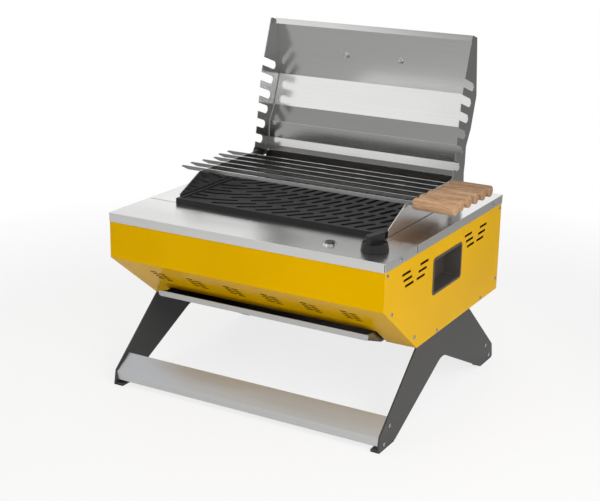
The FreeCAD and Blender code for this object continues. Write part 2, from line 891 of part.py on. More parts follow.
def tray_runner(label, side):
    """Angle strip that guides one side of the drawer."""
    body = new_body(label)
    inner = tray_half + s.runner_gap
    outline = [
        (side * inner, panel_floor),
        (side * (inner + s.runner_foot), panel_floor),
        (side * (inner + s.runner_foot), panel_floor + s.sheet),
        (side * (inner + s.sheet), panel_floor + s.sheet),
        (side * (inner + s.sheet), panel_floor + s.runner_height),
        (side * inner, panel_floor + s.runner_height),
    ]
    add(body, "XZ_Plane", s.runner_start, [outline], s.tray_back - s.runner_start)
    move_to_datum(body)


def firebox():
    """Folded tub under the plate, with an outward rim and a drain to the drawer."""
    body = new_body("firebox")
    gauge = s.tub_gauge
    walls = box(-tub_half - gauge, s.tub_front - gauge, tub_half + gauge, s.tub_back + gauge)
    rim = box(-tub_half - s.tub_rim, s.tub_front - s.tub_rim, tub_half + s.tub_rim, s.tub_back + s.tub_rim)
    inside = box(-tub_half, s.tub_front, tub_half, s.tub_back)
    middle = (s.tub_front + s.tub_back) / 2
    drain = box(-drain_half, middle - s.drain_depth / 2, drain_half, middle + s.drain_depth / 2)
    add(body, "XY_Plane", s.tub_bottom, [walls], under_top - s.tub_bottom)
    add(body, "XY_Plane", under_top - gauge, [rim], gauge)
    cut(body, "XY_Plane", s.tub_bottom + gauge, [inside], under_top - s.tub_bottom)
    cut(body, "XY_Plane", s.tub_bottom, [drain], gauge)
    ends = [square(y, element_height, s.element_width + 2 * s.fit_gap) for y in element_rows()]
    cut(body, "YZ_Plane", tub_half, ends, gauge)
    move_to_datum(body)


def element_rows():
    """Where the two straight runs of the element lie, front to back."""
    return [s.element_front, s.element_front + s.element_step]


def heating_element():
    """Sheathed rod, pressed square, in a hairpin that enters and leaves through the right wall."""
    body = new_body("heating_element")
    bend = s.element_step / 2
    turn = element_reach - bend
    rows = element_rows()
    runs = [square(y, element_height, s.element_width) for y in rows]
    add(body, "YZ_Plane", -turn, runs, tub_half + s.tub_gauge + turn)
    sketch = new_sketch(body, "YZ_Plane", (0, 0, -turn))
    add_polygon(sketch, runs[0])
    middle = rows[0] + bend
    axis_line = Part.LineSegment(Vector(number(middle), 0, 0), Vector(number(middle), number(bend), 0))
    axis = sketch.addGeometry(axis_line)
    sketch.toggleConstruction(axis)
    fix_point(sketch, axis, 1, middle, 0)
    fix_point(sketch, axis, 2, middle, bend)
    half_ring = body.newObject("PartDesign::Revolution", "element_bend")
    half_ring.Profile = sketch
    half_ring.ReferenceAxis = (sketch, ["Axis0"])
    half_ring.Angle = 180
    half_ring.Reversed = True
    doc.recompute()
    move_to_datum(body)


def element_brackets():
    """Two strips across the tub that the element lies on."""
    body = new_body("element_brackets")
    top = element_height - s.element_width / 2 - s.fit_gap
    strip = box(s.tub_front, top - s.bracket_drop, s.tub_back, top)
    first = add(body, "YZ_Plane", -s.bracket_step / 2, [strip], s.bracket_gauge)
    repeat(body, first, "X_Axis", s.bracket_step, 2)
    move_to_datum(body)


def terminal_blocks():
    """Ceramic blocks where the element's ends leave the tub."""
    body = new_body("terminal_blocks")
    blocks = []
    for y in element_rows():
        blocks.append(box(y - s.block_length / 2, element_height - s.block_height / 2,
                          y + s.block_length / 2, element_height + s.block_height / 2))
    add(body, "YZ_Plane", tub_half + s.tub_gauge, blocks, s.block_width)
    move_to_datum(body)


def plate_slots():
    """Slots on circles round a point at the back left, kept inside bands across the plate."""
    left = number(plate_half - s.arc_centre_inset)
    back = number(s.arc_centre_back)
    half_slot = number(s.arc_slot) / 2
    nose = number(s.arc_end)
    half_field = number(plate_half) - number(s.plate_border) - half_slot
    last_row = number(s.plate_back) - number(s.plate_border) - half_slot
    centre = Vector(-left, back, number(s.body_top))
    bands = int((last_row - number(s.band_front)) / number(s.band_step)) + 1
    rows = int((left + half_field + back) / number(s.arc_step))

    def spot(radius, angle):
        return centre + Vector(radius * math.cos(angle), radius * math.sin(angle), 0)

    prisms = []
    for band in range(bands):
        front = number(s.band_front) + band * number(s.band_step)
        rear = min(front + number(s.band_depth), last_row)
        for row in range(1, rows):
            radius = row * number(s.arc_step)
            if radius <= back - rear or front - back >= radius:
                continue
            left_stop = -math.acos(min(1, (left - half_field) / radius))
            right_stop = -math.acos(min(1, (left + half_field) / radius))
            start = max(math.asin(max(-1, (front - back) / radius)), left_stop)
            finish = math.asin(min(1, (rear - back) / radius))
            if radius > left + half_field:
                finish = min(finish, right_stop)
            if (finish - start) * radius < number(s.arc_slot) + nose:
                continue
            pieces = max(1, round((finish - start) * radius / number(s.arc_chord)))
            angles = [start + (finish - start) * step / pieces for step in range(pieces + 1)]
            inner = radius - half_slot
            outer = radius + half_slot
            turn = nose / radius
            outline = [spot(inner + nose, start - turn), spot(outer - nose, start - turn)]
            outline += [spot(outer, angle) for angle in angles]
            outline += [spot(outer - nose, finish + turn), spot(inner + nose, finish + turn)]
            outline += [spot(inner, angle) for angle in reversed(angles)]
            wire = Part.makePolygon(outline + outline[:1])
            prisms.append(Part.Face(wire).extrude(Vector(0, 0, number(s.plate_height))))
    cutter = doc.addObject("Part::Feature", "plate_slots")
    cutter.Shape = Part.makeCompound(prisms)
    return cutter


def grill_plate():
    """Cast plate with a raised border, a hollow underside and arcs of slots."""
    body = new_body("plate_blank")
    border = plate_half - s.plate_border
    rim = plate_half - s.plate_rim
    add(body, "XY_Plane", s.body_top, [box(-plate_half, s.plate_front, plate_half, s.plate_back)], s.plate_height)
    field = box(-border, s.plate_front + s.plate_border, border, s.plate_back - s.plate_border)
    cut(body, "XY_Plane", s.body_top + s.plate_height - s.plate_recess, [field], s.plate_recess)
    hollow = box(-rim, s.plate_front + s.plate_rim, rim, s.plate_back - s.plate_rim)
    cut(body, "XY_Plane", s.body_top, [hollow], s.plate_hollow)
    hole_half = s.lift_hole_length / 2
    hole_right = s.lift_hole_inset - plate_half
    hole = box(hole_right - hole_half, s.lift_hole_back - s.lift_hole_width / 2,
               hole_right + hole_half, s.lift_hole_back + s.lift_hole_width / 2)
    cut(body, "XY_Plane", s.body_top, [hole], s.plate_height)
    round_corners(body, "XY_Plane", hole, s.lift_hole_width / 2 - s.fit_gap)
    plate = doc.addObject("Part::Cut", "grill_plate")
    plate.Base = body
    plate.Tool = plate_slots()
    plate.Label = "grill_plate"
    move_to_datum(plate)


def skewer_rest(label, side):
    """Upright plate beside the cooking plate with seats for the blades and the hinge ear."""
    body = new_body(label)
    inner = tub_half - s.rest_gauge
    at = side_of(side, inner, s.rest_gauge)
    ear_top = s.hinge_height + s.hinge_ear_rise
    outline = [
        (s.tub_front, s.rest_bottom),
        (s.tub_back - s.seam_gap, s.rest_bottom),
        (s.tub_back - s.seam_gap, s.body_top),
        (s.rest_arm, s.body_top),
        (s.rest_arm, s.rest_arm_height),
        (s.hinge_back + s.hinge_ear + s.hinge_ear, s.rest_arm_height),
        (s.hinge_back + s.hinge_ear, s.hinge_height),
        (s.hinge_back + s.hinge_ear / 2, ear_top),
        (s.hinge_back - s.hinge_ear / 2, ear_top),
        (s.hinge_back - s.hinge_ear, s.rest_top),
        (s.rest_shoulder, s.rest_top),
        (s.rest_toe + s.rest_gauge, s.rest_toe_height),
        (s.rest_toe, s.body_top),
        (s.tub_front, s.body_top),
    ]
    add(body, "YZ_Plane", at, [outline], s.rest_gauge)
    cut(body, "YZ_Plane", at, [Round(s.hinge_back, s.hinge_height, s.hinge_pin / 2 + s.hinge_gap)], s.rest_gauge)
    low = s.blade_low - s.fit_gap
    slot = box(s.skewer_first - s.notch_slot / 2, low, s.skewer_first + s.notch_slot / 2, s.rest_top)
    notch = cut(body, "YZ_Plane", at, [slot], s.rest_gauge)
    repeat(body, notch, "Y_Axis", s.skewer_step, len(TIP_REACHES))
    stop = box(s.rest_arm - s.stop_depth, s.rest_arm_height - s.rest_gauge, s.rest_arm, s.rest_arm_height)
    add(body, "YZ_Plane", side_of(side, tub_half, s.stop_reach), [stop], s.stop_reach)
    move_to_datum(body)


def hinge_pins():
    """Headed pins through the ears of the rests and the lid's sides."""
    body = new_body("hinge_pins")
    inner = tub_half - s.rest_gauge
    outer = lid_half + s.sheet + s.fit_gap
    for side in (1, -1):
        start = inner - s.rest_gauge
        length = outer - start
        pin = Round(s.hinge_back, s.hinge_height, s.hinge_pin / 2)
        add(body, "YZ_Plane", side_of(side, start, length), [pin], length)
        head = ring(s.hinge_back, s.hinge_height, s.hinge_head / 2, NUT_SIDES)
        add(body, "YZ_Plane", side_of(side, outer, s.hinge_head_gauge), [head], s.hinge_head_gauge)
    move_to_datum(body)


def rear_guard():
    """Dark splash plate behind the lid."""
    body = new_body("rear_guard")
    front = s.guard_back - s.guard_foot
    path = [
        (s.guard_back, s.guard_top),
        (s.guard_back, s.body_top),
        (front, s.body_top),
    ]
    bend_sheet(body, path[::-1], s.sheet, -guard_half, 2 * guard_half)
    move_to_datum(body)


def guard_tabs():
    """Five small tabs standing on the guard's foot."""
    body = new_body("guard_tabs")
    tabs = []
    for index in range(GUARD_TABS):
        x = (index - (GUARD_TABS - 1) / 2) * s.tab_step
        tabs.append([
            (x - s.tab_foot_width / 2, s.body_top + s.sheet),
            (x + s.tab_foot_width / 2, s.body_top + s.sheet),
            (x + s.tab_top_width / 2, s.tab_top),
            (x - s.tab_top_width / 2, s.tab_top),
        ])
    add(body, "XZ_Plane", s.tab_back, tabs, s.sheet)
    move_to_datum(body)


def move_lid_piece(body):
    """Hangs a closed-lid piece on the hinge and opens it."""
    move_to_datum(body, 0, s.hinge_back, s.hinge_height, (-1, 0, 0), s.lid_open)


def lid_profile():
    """The shell's inner line from the front lip to its tail, about the hinge."""
    return [
        (s.lid_front + s.lid_lip, s.lid_flange_low),
        (s.lid_front, s.lid_flange_low),
        (s.lid_front, s.lid_front_height),
        (s.lid_crest_front, s.lid_crest_front_height),
        (s.lid_crest_back, s.lid_crest_back_height),
        (s.lid_valley, s.lid_valley_height),
        (s.lid_ridge, s.lid_ridge_height),
        (s.lid_back_edge, s.lid_back_edge_height),
        (s.lid_tail, s.lid_tail_height),
    ]


def lid_shell():
    """Many-bend cover between the comb sides."""
    body = new_body("lid_shell")
    bend_sheet(body, lid_profile(), s.sheet, -lid_half, 2 * lid_half)
    corners = []
    for side in (1, -1):
        corners.append(box(side * lid_flange_half, 2 * s.lid_flange_low, side * lid_half,
                           s.lid_front_height - s.sheet))
    cut(body, "XZ_Plane", s.lid_front - 2 * s.sheet, corners, s.lid_lip + 4 * s.sheet)
    move_lid_piece(body)


def lid_side(label, side):
    """Comb-notched side plate that closes over the skewers and turns on the hinge."""
    body = new_body(label)
    crest = lid_profile()[2:8]
    ear = s.hinge_ear
    outline = [(s.lid_front, s.lid_side_low)] + crest + [
        (s.lid_heel, s.lid_heel_height),
        (ear, 0),
        (ear / 2, -ear),
        (-ear / 2, -ear),
        (s.comb_rise_end, s.comb_rise_height),
        (s.comb_rise_start, s.lid_side_low + s.sheet),
        (s.comb_rise_start - s.comb_slot, s.lid_side_low),
    ]
    at = side_of(side, lid_half, s.sheet)
    add(body, "YZ_Plane", at, [outline], s.sheet)
    round_corners(body, "YZ_Plane", outline[:1], s.lid_corner)
    cut(body, "YZ_Plane", at, [Round(0, 0, s.hinge_pin / 2 + s.hinge_gap)], s.sheet)
    slot = Tunnel(s.skewer_first - s.hinge_back, s.comb_slot, s.lid_side_low - s.sheet, s.comb_top)
    comb = cut(body, "YZ_Plane", at, [slot], s.sheet)
    repeat(body, comb, "Y_Axis", s.skewer_step, len(TIP_REACHES))
    move_lid_piece(body)


def lid_flat():
    """Handle's place on the lid's front flat and the flat's unit steps along and outward."""
    run = s.lid_crest_front - s.lid_front
    rise = s.lid_crest_front_height - s.lid_front_height
    length = hypot(run, rise)
    along, up = run / length, rise / length
    place = (s.lid_crest_front - s.lid_handle_back * along, s.lid_crest_front_height - s.lid_handle_back * up)
    return place, (along, up), slope_of(run, rise)


def lid_handle():
    """Outside handle: two legs and a round grip."""
    body = new_body("lid_handle")
    (y, z), (along, up), _ = lid_flat()

    def place(forward, outward):
        return (y + forward * along - outward * up, z + forward * up + outward * along)

    half = s.lid_handle_foot / 2
    reach = s.lid_handle_reach + s.sheet
    leg_outline = [
        place(-half, s.sheet),
        place(half, s.sheet),
        place(half / 2, reach),
        place(-half / 2, reach),
    ]
    for side in (1, -1):
        start = side * s.lid_handle_spread - s.lid_handle_leg / 2
        add(body, "YZ_Plane", start, [leg_outline], s.lid_handle_leg)
    grip = Round(*place(as_size(0), reach), s.lid_handle_grip / 2)
    add(body, "YZ_Plane", -s.lid_handle_length / 2, [grip], s.lid_handle_length)
    move_lid_piece(body)


def lid_handle_screws():
    """Washers and nuts inside the lid that hold the handle."""
    body = new_body("lid_handle_screws")
    (y, z), _, slope = lid_flat()
    middles = [side * s.lid_handle_spread for side in (1, -1)]
    washers = [ring(x, as_size(0), s.lid_screw_washer / 2, HEAD_SIDES) for x in middles]
    nuts = [ring(x, as_size(0), s.lid_screw_nut / 2, NUT_SIDES) for x in middles]
    for shapes, length in ((washers, s.sheet), (nuts, s.lid_screw_height)):
        sketch = new_sketch(body, "XY_Plane", (0, y, z), (1, 0, 0), slope)
        draw(sketch, shapes)
        extrude(body, "Pad", sketch, length, False)
    move_lid_piece(body)


def knob():
    """Round base with a sunk top and a raised wing."""
    body = new_body("knob")
    base = s.knob_diameter / 2
    crown = s.knob_top_diameter / 2
    inner_edge = crown - s.knob_recess
    floor = s.knob_height - s.knob_recess
    origin = as_size(0)
    wing = oval(origin, origin, s.knob_wing_width, s.knob_wing_length, WING_SIDES)
    skin = add(body, "XY_Plane", 0, [ring(origin, origin, base, KNOB_SIDES)], s.knob_height)
    lean = slope_of(s.knob_height, crown - base)
    skin.TaperAngle = number(lean)
    bind(skin, "TaperAngle", lean)
    doc.recompute()
    cut(body, "XY_Plane", floor, [ring(origin, origin, inner_edge, KNOB_SIDES)], s.knob_recess)
    add(body, "XY_Plane", floor, [wing], s.knob_wing_height + s.knob_recess)
    cut(body, "XY_Plane", 0, [square(as_size(0), as_size(0), s.shaft_width + 2 * s.shaft_gap)], s.shaft_insert)
    move_to_datum(body, knob_right, s.knob_back, s.body_top + s.knob_gap, (0, 0, -1), s.knob_turn)


def thermostat_shaft():
    """Square rod that the knob turns."""
    body = new_body("thermostat_shaft")
    low = -(s.shaft_drop + s.sheet + s.knob_gap)
    length = s.shaft_insert - low
    add(body, "XY_Plane", low, [square(as_size(0), as_size(0), s.shaft_width)], length)
    move_to_datum(body, knob_right, s.knob_back, s.body_top + s.knob_gap, (0, 0, -1), s.knob_turn)


def thermostat_body():
    """Regulator under the shelf, bored wide enough for the shaft to turn."""
    body = new_body("thermostat_body")
    half = s.thermostat_width / 2
    deep = s.thermostat_depth / 2
    block = box(knob_right - half, s.knob_back - deep, knob_right + half, s.knob_back + deep)
    add(body, "XY_Plane", under_top - s.thermostat_height, [block], s.thermostat_height)
    drop = s.shaft_drop + s.fit_gap
    bore = square(knob_right, s.knob_back, s.shaft_width * math.sqrt(2) + s.fit_gap)
    cut(body, "XY_Plane", under_top - drop, [bore], drop)
    move_to_datum(body)


def button_bezel():
    """Bright ring round the button."""
    body = new_body("button_bezel")
    rim = ring(button_right, s.button_back, s.bezel_diameter / 2, BUTTON_SIDES)
    bore = ring(button_right, s.button_back, s.button_diameter / 2 + s.button_gap, BUTTON_SIDES)
    add(body, "XY_Plane", s.body_top, [rim, bore], s.bezel_height)
    move_to_datum(body)


def button_cap():
    """Bright push button with its stem."""
    body = new_body("button_cap")
    cap = ring(button_right, s.button_back, s.button_diameter / 2, BUTTON_SIDES)
    stem = square(button_right, s.button_back, s.stem_width)
    low = s.body_top + s.button_raise
    add(body, "XY_Plane", low, [cap], s.button_height - s.button_raise)
    add(body, "XY_Plane", low - 2 * s.button_travel, [stem], 2 * s.button_travel)
    move_to_datum(body)


def switch_body():
    """Switch under the shelf that the button's stem enters."""
    body = new_body("switch_body")
    sink = s.button_travel - s.button_raise - s.sheet + 2 * s.fit_gap
    well = square(button_right, s.button_back, s.button_diameter + 2 * s.button_gap)
    bore = square(button_right, s.button_back, s.stem_width + 2 * s.stem_gap)
    depth = 4 * s.button_travel
    case = square(button_right, s.button_back, s.switch_width)
    add(body, "XY_Plane", under_top - s.switch_height, [case], s.switch_height)
    cut(body, "XY_Plane", under_top - sink, [well], sink)
    cut(body, "XY_Plane", under_top - depth, [bore], depth)
    move_to_datum(body)


def power_inlet():
    """Recessed mains inlet in the back, with three pins."""
    body = new_body("power_inlet")
    x = inlet_right
    z = s.inlet_height

    def centred(width, height):
        return box(x - width / 2, z - height / 2, x + width / 2, z + height / 2)

    depth = s.inlet_body_depth
    wall = s.inlet_wall
    outside = s.body_depth + s.inlet_flange_gauge
    add(body, "XZ_Plane", s.body_depth - depth, [centred(s.inlet_body_width, s.inlet_body_height)], depth)
    add(body, "XZ_Plane", s.body_depth, [centred(s.inlet_flange_width, s.inlet_flange_height)], s.inlet_flange_gauge)
    hollow = centred(s.inlet_body_width - 2 * wall, s.inlet_body_height - 2 * wall)
    cavity = depth + s.inlet_flange_gauge - wall
    cut(body, "XZ_Plane", outside - cavity, [hollow], cavity)
    pins = []
    for step, rise in ((-1, -0.5), (0, 0.5), (1, -0.5)):
        px = x + step * s.pin_step
        pz = z + rise * s.pin_height
        pins.append(box(px - s.pin_width / 2, pz - s.pin_height / 2, px + s.pin_width / 2, pz + s.pin_height / 2))
    add(body, "XZ_Plane", outside - cavity, pins, s.pin_length)
    move_to_datum(body)


def skewer(index):
    """A flat blade on edge and its wooden handle."""
    y = s.skewer_first + index * s.skewer_step
    top = s.blade_low + s.blade_height
    tip = -(opening_half + TIP_REACHES[index])
    start = handle_start + HANDLE_SHIFTS[index]
    blade = new_body(f"skewer_blade_{index + 1}")
    outline = [
        (tip, s.blade_low + s.blade_point),
        (tip + s.blade_taper, s.blade_low),
        (start + s.tang, s.blade_low),
        (start + s.tang, top),
        (tip + s.blade_shoulder, top),
    ]
    add(blade, "XZ_Plane", y - s.blade_gauge / 2, [outline], s.blade_gauge)
    move_to_datum(blade)
    grip = new_body(f"skewer_handle_{index + 1}")
    wood = grip.newObject("PartDesign::AdditivePrism", grip.Label + "_wood")
    wood.Polygon = HANDLE_SIDES
    wood.Circumradius = number(s.handle_diameter) / 2
    wood.Height = number(s.handle_length)
    wood.Placement = Placement(Vector(), Rotation(Vector(0, 1, 0), 90))
    bind(wood, "Circumradius", s.handle_diameter / 2)
    bind(wood, "Height", s.handle_length)
    doc.recompute()
    nose = [f"Edge{i}" for i, edge in enumerate(wood.Shape.Edges, start=1) if edge.BoundBox.XMax < 0.001]
    taper = grip.newObject("PartDesign::Chamfer", grip.Label + "_nose")
    taper.Base = (wood, nose)
    taper.Size = number(s.handle_nose)
    bind(taper, "Size", s.handle_nose)
    doc.recompute()
    half_slot = s.blade_gauge / 2 + s.tang_gap
    rise = s.blade_height / 2 + s.tang_gap
    cut(grip, "YZ_Plane", 0, [box(-half_slot, -rise, half_slot, rise)], s.tang + s.tang_gap)
    move_to_datum(grip, start, y, s.blade_low + s.blade_height / 2)


def side_screw_places():
    """How far back and how high each screw sits along a side panel's edges."""
    corner = s.body_bottom + s.corner_screw_rise
    floor = s.body_bottom + s.floor_screw_rise
    top = s.body_top - s.top_screw_drop
    rear = s.body_depth - s.screw_inset
    return [
        (s.screw_inset, top),
        (s.fold_screw_front, s.front_fold_height - s.fold_screw_drop),
        (s.underside_start - s.slope_screw_inset, corner),
        (s.floor_screw_front, floor),
        (s.body_depth - s.floor_screw_back, floor),
        (rear, corner),
        (rear, top),
    ]


def skirt_screw_places():
    """The two screws in each side of the bright skirt."""
    height = s.body_top - s.skirt_screw_drop
    return [(s.skirt_screw_front, height), (s.body_depth - s.skirt_screw_back, height)]


def bar_screw_places():
    """The screws that hold both crossbars to a leg."""
    front = [(s.bar_screw_back, s.bar_screw_height), (s.toe_screw_back, s.toe_screw_height)]
    return front + mirrored(front, s.body_depth)


def screw_heads(label, rows):
    """Screw heads on upright side faces, one node for the whole set."""
    heads = []
    for face, side, places in rows:
        for y, z in places:
            head = doc.addObject("Part::Prism", f"{label}_head")
            head.Polygon = HEAD_SIDES
            head.Circumradius = number(s.screw_diameter) / 2
            head.Height = number(s.screw_head)
            bind(head, "Circumradius", s.screw_diameter / 2)
            bind(head, "Height", s.screw_head)
            head.Placement = Placement(Vector(), Rotation(Vector(0, side, 0), 90))
            bind(head, "Placement.Base.x", side * face)
            bind(head, "Placement.Base.y", y)
            bind(head, "Placement.Base.z", z)
            heads.append(head)
    node = doc.addObject("Part::Compound", label)
    node.Links = heads
    node.Label = label
    move_to_datum(node)


def build():
    """Makes every piece of the grill."""
    front_panel()
    side_panel("side_panel_right", 1)
    side_panel("side_panel_left", -1)
    rear_panel()
    bottom_panel()
    top_front_panel()
    top_side_panel("top_side_panel_right", 1)
    top_side_panel("top_side_panel_left", -1)
    top_rear_panel()
    grip_cup("grip_cup_right", 1)
    grip_cup("grip_cup_left", -1)
    leg("leg_right", 1)
    leg("leg_left", -1)
    foot_pads()
    crossbar("front_crossbar", False)
    crossbar("rear_crossbar", True)
    drip_tray()
    tray_lip()
    tray_runner("tray_runner_right", 1)
    tray_runner("tray_runner_left", -1)
    firebox()
    heating_element()
    element_brackets()
    terminal_blocks()
    grill_plate()
    skewer_rest("skewer_rest_right", 1)
    skewer_rest("skewer_rest_left", -1)
    hinge_pins()
    rear_guard()
    guard_tabs()
    lid_shell()
    lid_side("lid_side_right", 1)
    lid_side("lid_side_left", -1)
    lid_handle()
    lid_handle_screws()
    knob()
    thermostat_shaft()
    thermostat_body()
    button_bezel()
    button_cap()
    switch_body()
    power_inlet()
    for index in range(len(TIP_REACHES)):
        skewer(index)
    skirt = half_width + s.sheet
    for label, side in (("side_screws_right", 1), ("side_screws_left", -1)):
        screw_heads(label, [(half_width, side, side_screw_places()), (skirt, side, skirt_screw_places())])
    screw_heads("leg_screws", [(half_width, side, bar_screw_places()) for side in (1, -1)])


def check():
    """Stops at any failed object or bad shape."""
    doc.recompute()
    for item in doc.Objects:
        if "Invalid" in item.State or "Error" in item.State:
            raise RuntimeError(f"{item.Label} failed: {item.State}")
    unsound = [item.Label for item in kept if item.Shape.isNull() or not item.Shape.isValid()]
    if unsound:
        raise RuntimeError(f"no sound shape: {unsound}")


def write_parts():
    """Writes one STEP file for each piece."""
    os.makedirs("parts", exist_ok=True)
    for item in kept:
        item.Shape.exportStep(f"parts/{item.Label}.step")
    whole = Part.makeCompound([item.Shape for item in kept]).BoundBox
    print("pieces", len(kept))
    print("box", [round(edge, 2) for edge in (whole.XMin, whole.XMax, whole.YMin, whole.YMax, whole.ZMin, whole.ZMax)])


build()
check()
write_parts()
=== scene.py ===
"""Looks for an electric skewer grill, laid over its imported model."""

import math

import bmesh
import bpy
from mathutils import Matrix, Vector


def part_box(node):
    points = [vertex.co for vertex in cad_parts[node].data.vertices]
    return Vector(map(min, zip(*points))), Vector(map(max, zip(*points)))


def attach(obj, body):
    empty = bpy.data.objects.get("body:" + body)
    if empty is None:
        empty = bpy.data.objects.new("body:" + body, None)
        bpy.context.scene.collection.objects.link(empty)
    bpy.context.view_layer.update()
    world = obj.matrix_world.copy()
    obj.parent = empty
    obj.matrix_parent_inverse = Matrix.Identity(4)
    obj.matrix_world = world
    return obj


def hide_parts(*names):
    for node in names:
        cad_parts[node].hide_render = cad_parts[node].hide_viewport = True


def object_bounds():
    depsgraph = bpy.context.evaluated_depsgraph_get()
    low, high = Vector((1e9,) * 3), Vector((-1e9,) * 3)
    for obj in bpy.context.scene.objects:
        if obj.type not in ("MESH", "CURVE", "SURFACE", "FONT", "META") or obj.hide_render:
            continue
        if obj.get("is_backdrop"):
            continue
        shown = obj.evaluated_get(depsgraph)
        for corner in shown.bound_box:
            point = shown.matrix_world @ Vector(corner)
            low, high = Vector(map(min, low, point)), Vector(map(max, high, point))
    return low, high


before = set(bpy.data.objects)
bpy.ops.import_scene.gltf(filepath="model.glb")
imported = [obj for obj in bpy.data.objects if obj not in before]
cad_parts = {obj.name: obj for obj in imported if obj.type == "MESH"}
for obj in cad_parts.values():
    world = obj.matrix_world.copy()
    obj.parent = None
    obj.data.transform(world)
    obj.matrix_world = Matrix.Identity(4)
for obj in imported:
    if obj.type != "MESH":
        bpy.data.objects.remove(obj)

bl_info = {
    "name": "Electric Skewer Grill",
    "version": (1, 0, 0),
    "blender": (4, 5, 0),
    "location": "View3D > Sidebar > Grill",
    "description": "Finishes and fine pieces for a table grill with skewers, and its studio",
    "category": "Object",
}

MM = 0.001
SKEWERS = range(1, 7)

# Axes that the brushing of a sheet runs along.
WIDTHWISE, DEPTHWISE = 0, 1

# A Mix node has sockets of one name for each kind of value. These are the ones for colours.
MIX_A, MIX_B, MIX_RESULT = 6, 7, 2

# Profiles of the turned pieces, from the base up. Each row is a ring: its radius and height as
# shares of the piece's own, and its corners, 0 for round.
SCREW_DOME = ((0, 0, 0), (1, 0, 0), (1, 0.3, 0), (0.9, 0.62, 0), (0.7, 0.88, 0))
# The socket's radii are shares of its own radius, and its heights are shares of the head's.
SCREW_SOCKET = ((1.25, 1, 0), (1.02, 1, 6), (1, 0.45, 6), (0, 0.35, 0))
# A cup washer, a groove and a domed nut that is hollow at its end.
WASHER_AND_NUT = (
    (0, 0, 0), (1, 0, 0), (1, 0.22, 0), (0.9, 0.3, 0), (0.7, 0.14, 0), (0.66, 0.14, 0),
    (0.64, 0.7, 0), (0.52, 0.95, 0), (0.36, 1, 0), (0.34, 0.3, 0), (0, 0.25, 0),
)
# The end of a grip at its blade, with heights in millimetres.
GRIP_NECK = (
    (0, 0, 0), (0.62, 0, 0), (0.8, 0.5, 0), (0.92, 1.8, 0), (0.965, 4, 0), (0.985, 12, 0),
)
# A grip is thickest at this share of its length, and keeps this share of its radius to the end.
GRIP_BELLY, GRIP_TAPER = 0.45, 0.995
# Rings that round the outer end of a grip.
GRIP_END_RINGS = 6
# The grip furthest back is painted darker by this share, as painted shade.
GRIP_PAINTED_SHADE = 0.36

# The photograph's camera, from a fit to the straight edges of the body. The angles are degrees
# round to the right, up and of roll.
CAMERA_PLACE = (1.1161, -2.05565, 0.9824)
CAMERA_ANGLES = (29.264, 16.574, 1.061)
CAMERA_SHIFT = (-0.008, -0.0332)

# Each lamp's place, the point that it is aimed at and its size, in metres.
KEY_LAMP = ((2.0, -1.3, 1.5), (0.05, 0, 0.25), 1.4)
PIN_LAMP = ((1.25, -1.9, 1.55), (0.1, 0, 0.35), 0.3)
FILL_LAMP = ((-1.75, -2.7, 1.45), (0, 0, 0.35), 1.65)

# How bright the room is at heights from level, 0, to straight up, 1.
BACK_WALL = ((0.34, 1.0), (0.5, 0.42), (0.74, 0.5), (0.9, 1.0))
FRONT_WALL = ((0.34, 0.5), (0.5, 0.42), (0.74, 0.5), (0.9, 1.0))


def linear(hex_colour):
    """An sRGB hex value as a linear colour."""
    parts = [int(hex_colour[place:place + 2], 16) / 255 for place in (1, 3, 5)]
    return [part / 12.92 if part <= 0.04045 else ((part + 0.055) / 1.055) ** 2.4
            for part in parts]


def rgba(colour):
    """A colour with full opacity, for a node socket."""
    return (*colour[:3], 1.0)


def shade(colour, factor):
    """A lighter or darker version of a colour."""
    return [min(1.0, part * factor) for part in colour[:3]]


# Settings that a user would change


def colour_setting(name, hex_colour, description):
    """A colour property with its default written in sRGB."""
    return bpy.props.FloatVectorProperty(
        name=name, description=description, subtype="COLOR", size=3, min=0, max=1,
        default=linear(hex_colour),
    )


def length_setting(name, millimetres, description):
    """A length property with its default written in millimetres."""
    return bpy.props.FloatProperty(
        name=name, description=description, subtype="DISTANCE", unit="LENGTH", min=0,
        default=millimetres * MM,
    )


def power_setting(name, watts, description):
    """A lamp's power, in watts."""
    return bpy.props.FloatProperty(
        name=name, description=description, subtype="POWER", min=0, default=watts
    )


class GrillColours(bpy.types.PropertyGroup):
    """Colours of the finishes."""

    enamel: colour_setting("Enamel", "#E9B400", "Powder-coated body")
    # Painted shade: the dark colour of the inner faces, the up-facing cut edges and the rim under
    # the top, which stands in for shadow.
    painted_shade: colour_setting("Primer", "#2C1C09", "Inner faces and cut edges of the coated body")
    steel: colour_setting("Stainless steel", "#EBEBEA", "Top, rests and drawer")
    bars: colour_setting("Crossbar steel", "#D0D2D5", "Crossbars")
    # The lid's steel is a darker copy of the top's, as painted shade.
    lid: colour_setting("Lid steel", "#BEBEBD", "Lid and its comb sides")
    weld: colour_setting("Weld", "#E8E8E7", "Ground welds at the ends of the lid")
    guard: colour_setting("Guard steel", "#77736F", "Guard behind the lid, dulled by heat")
    # The guard's steel is a darker grey than the top's.
    tabs: colour_setting("Tab coating", "#A6A6A4", "Tabs of the guard")
    blade: colour_setting("Skewer steel", "#B8B8B7", "Skewer blades and screws")
    nuts: colour_setting("Nut steel", "#EFEFEE", "Domed nuts inside the lid")
    ring: colour_setting("Button ring", "#F2F3F3", "Plated ring of the push button")
    # The cap is the ring's plating painted darker, as a painted reflection of dark surroundings.
    cap: colour_setting("Button cap", "#77797A", "Plated cap of the push button")
    iron: colour_setting("Cast iron", "#2C2C2D", "Cooking plate")
    legs: colour_setting("Leg coating", "#3A3A3A", "Legs")
    plastic: colour_setting("Plastic", "#1C1C1C", "Knob and lid handle")
    cups: colour_setting("Grip plastic", "#4C4743", "Grips sunk in the sides")
    switch: colour_setting("Switch plastic", "#26262A", "Switch and mains inlet")
    wood_light: colour_setting("Wood, pale", "#DFB78F", "Pale grain of the skewer grips")
    wood_dark: colour_setting("Wood, dark", "#9A6D49", "Dark grain of the skewer grips")


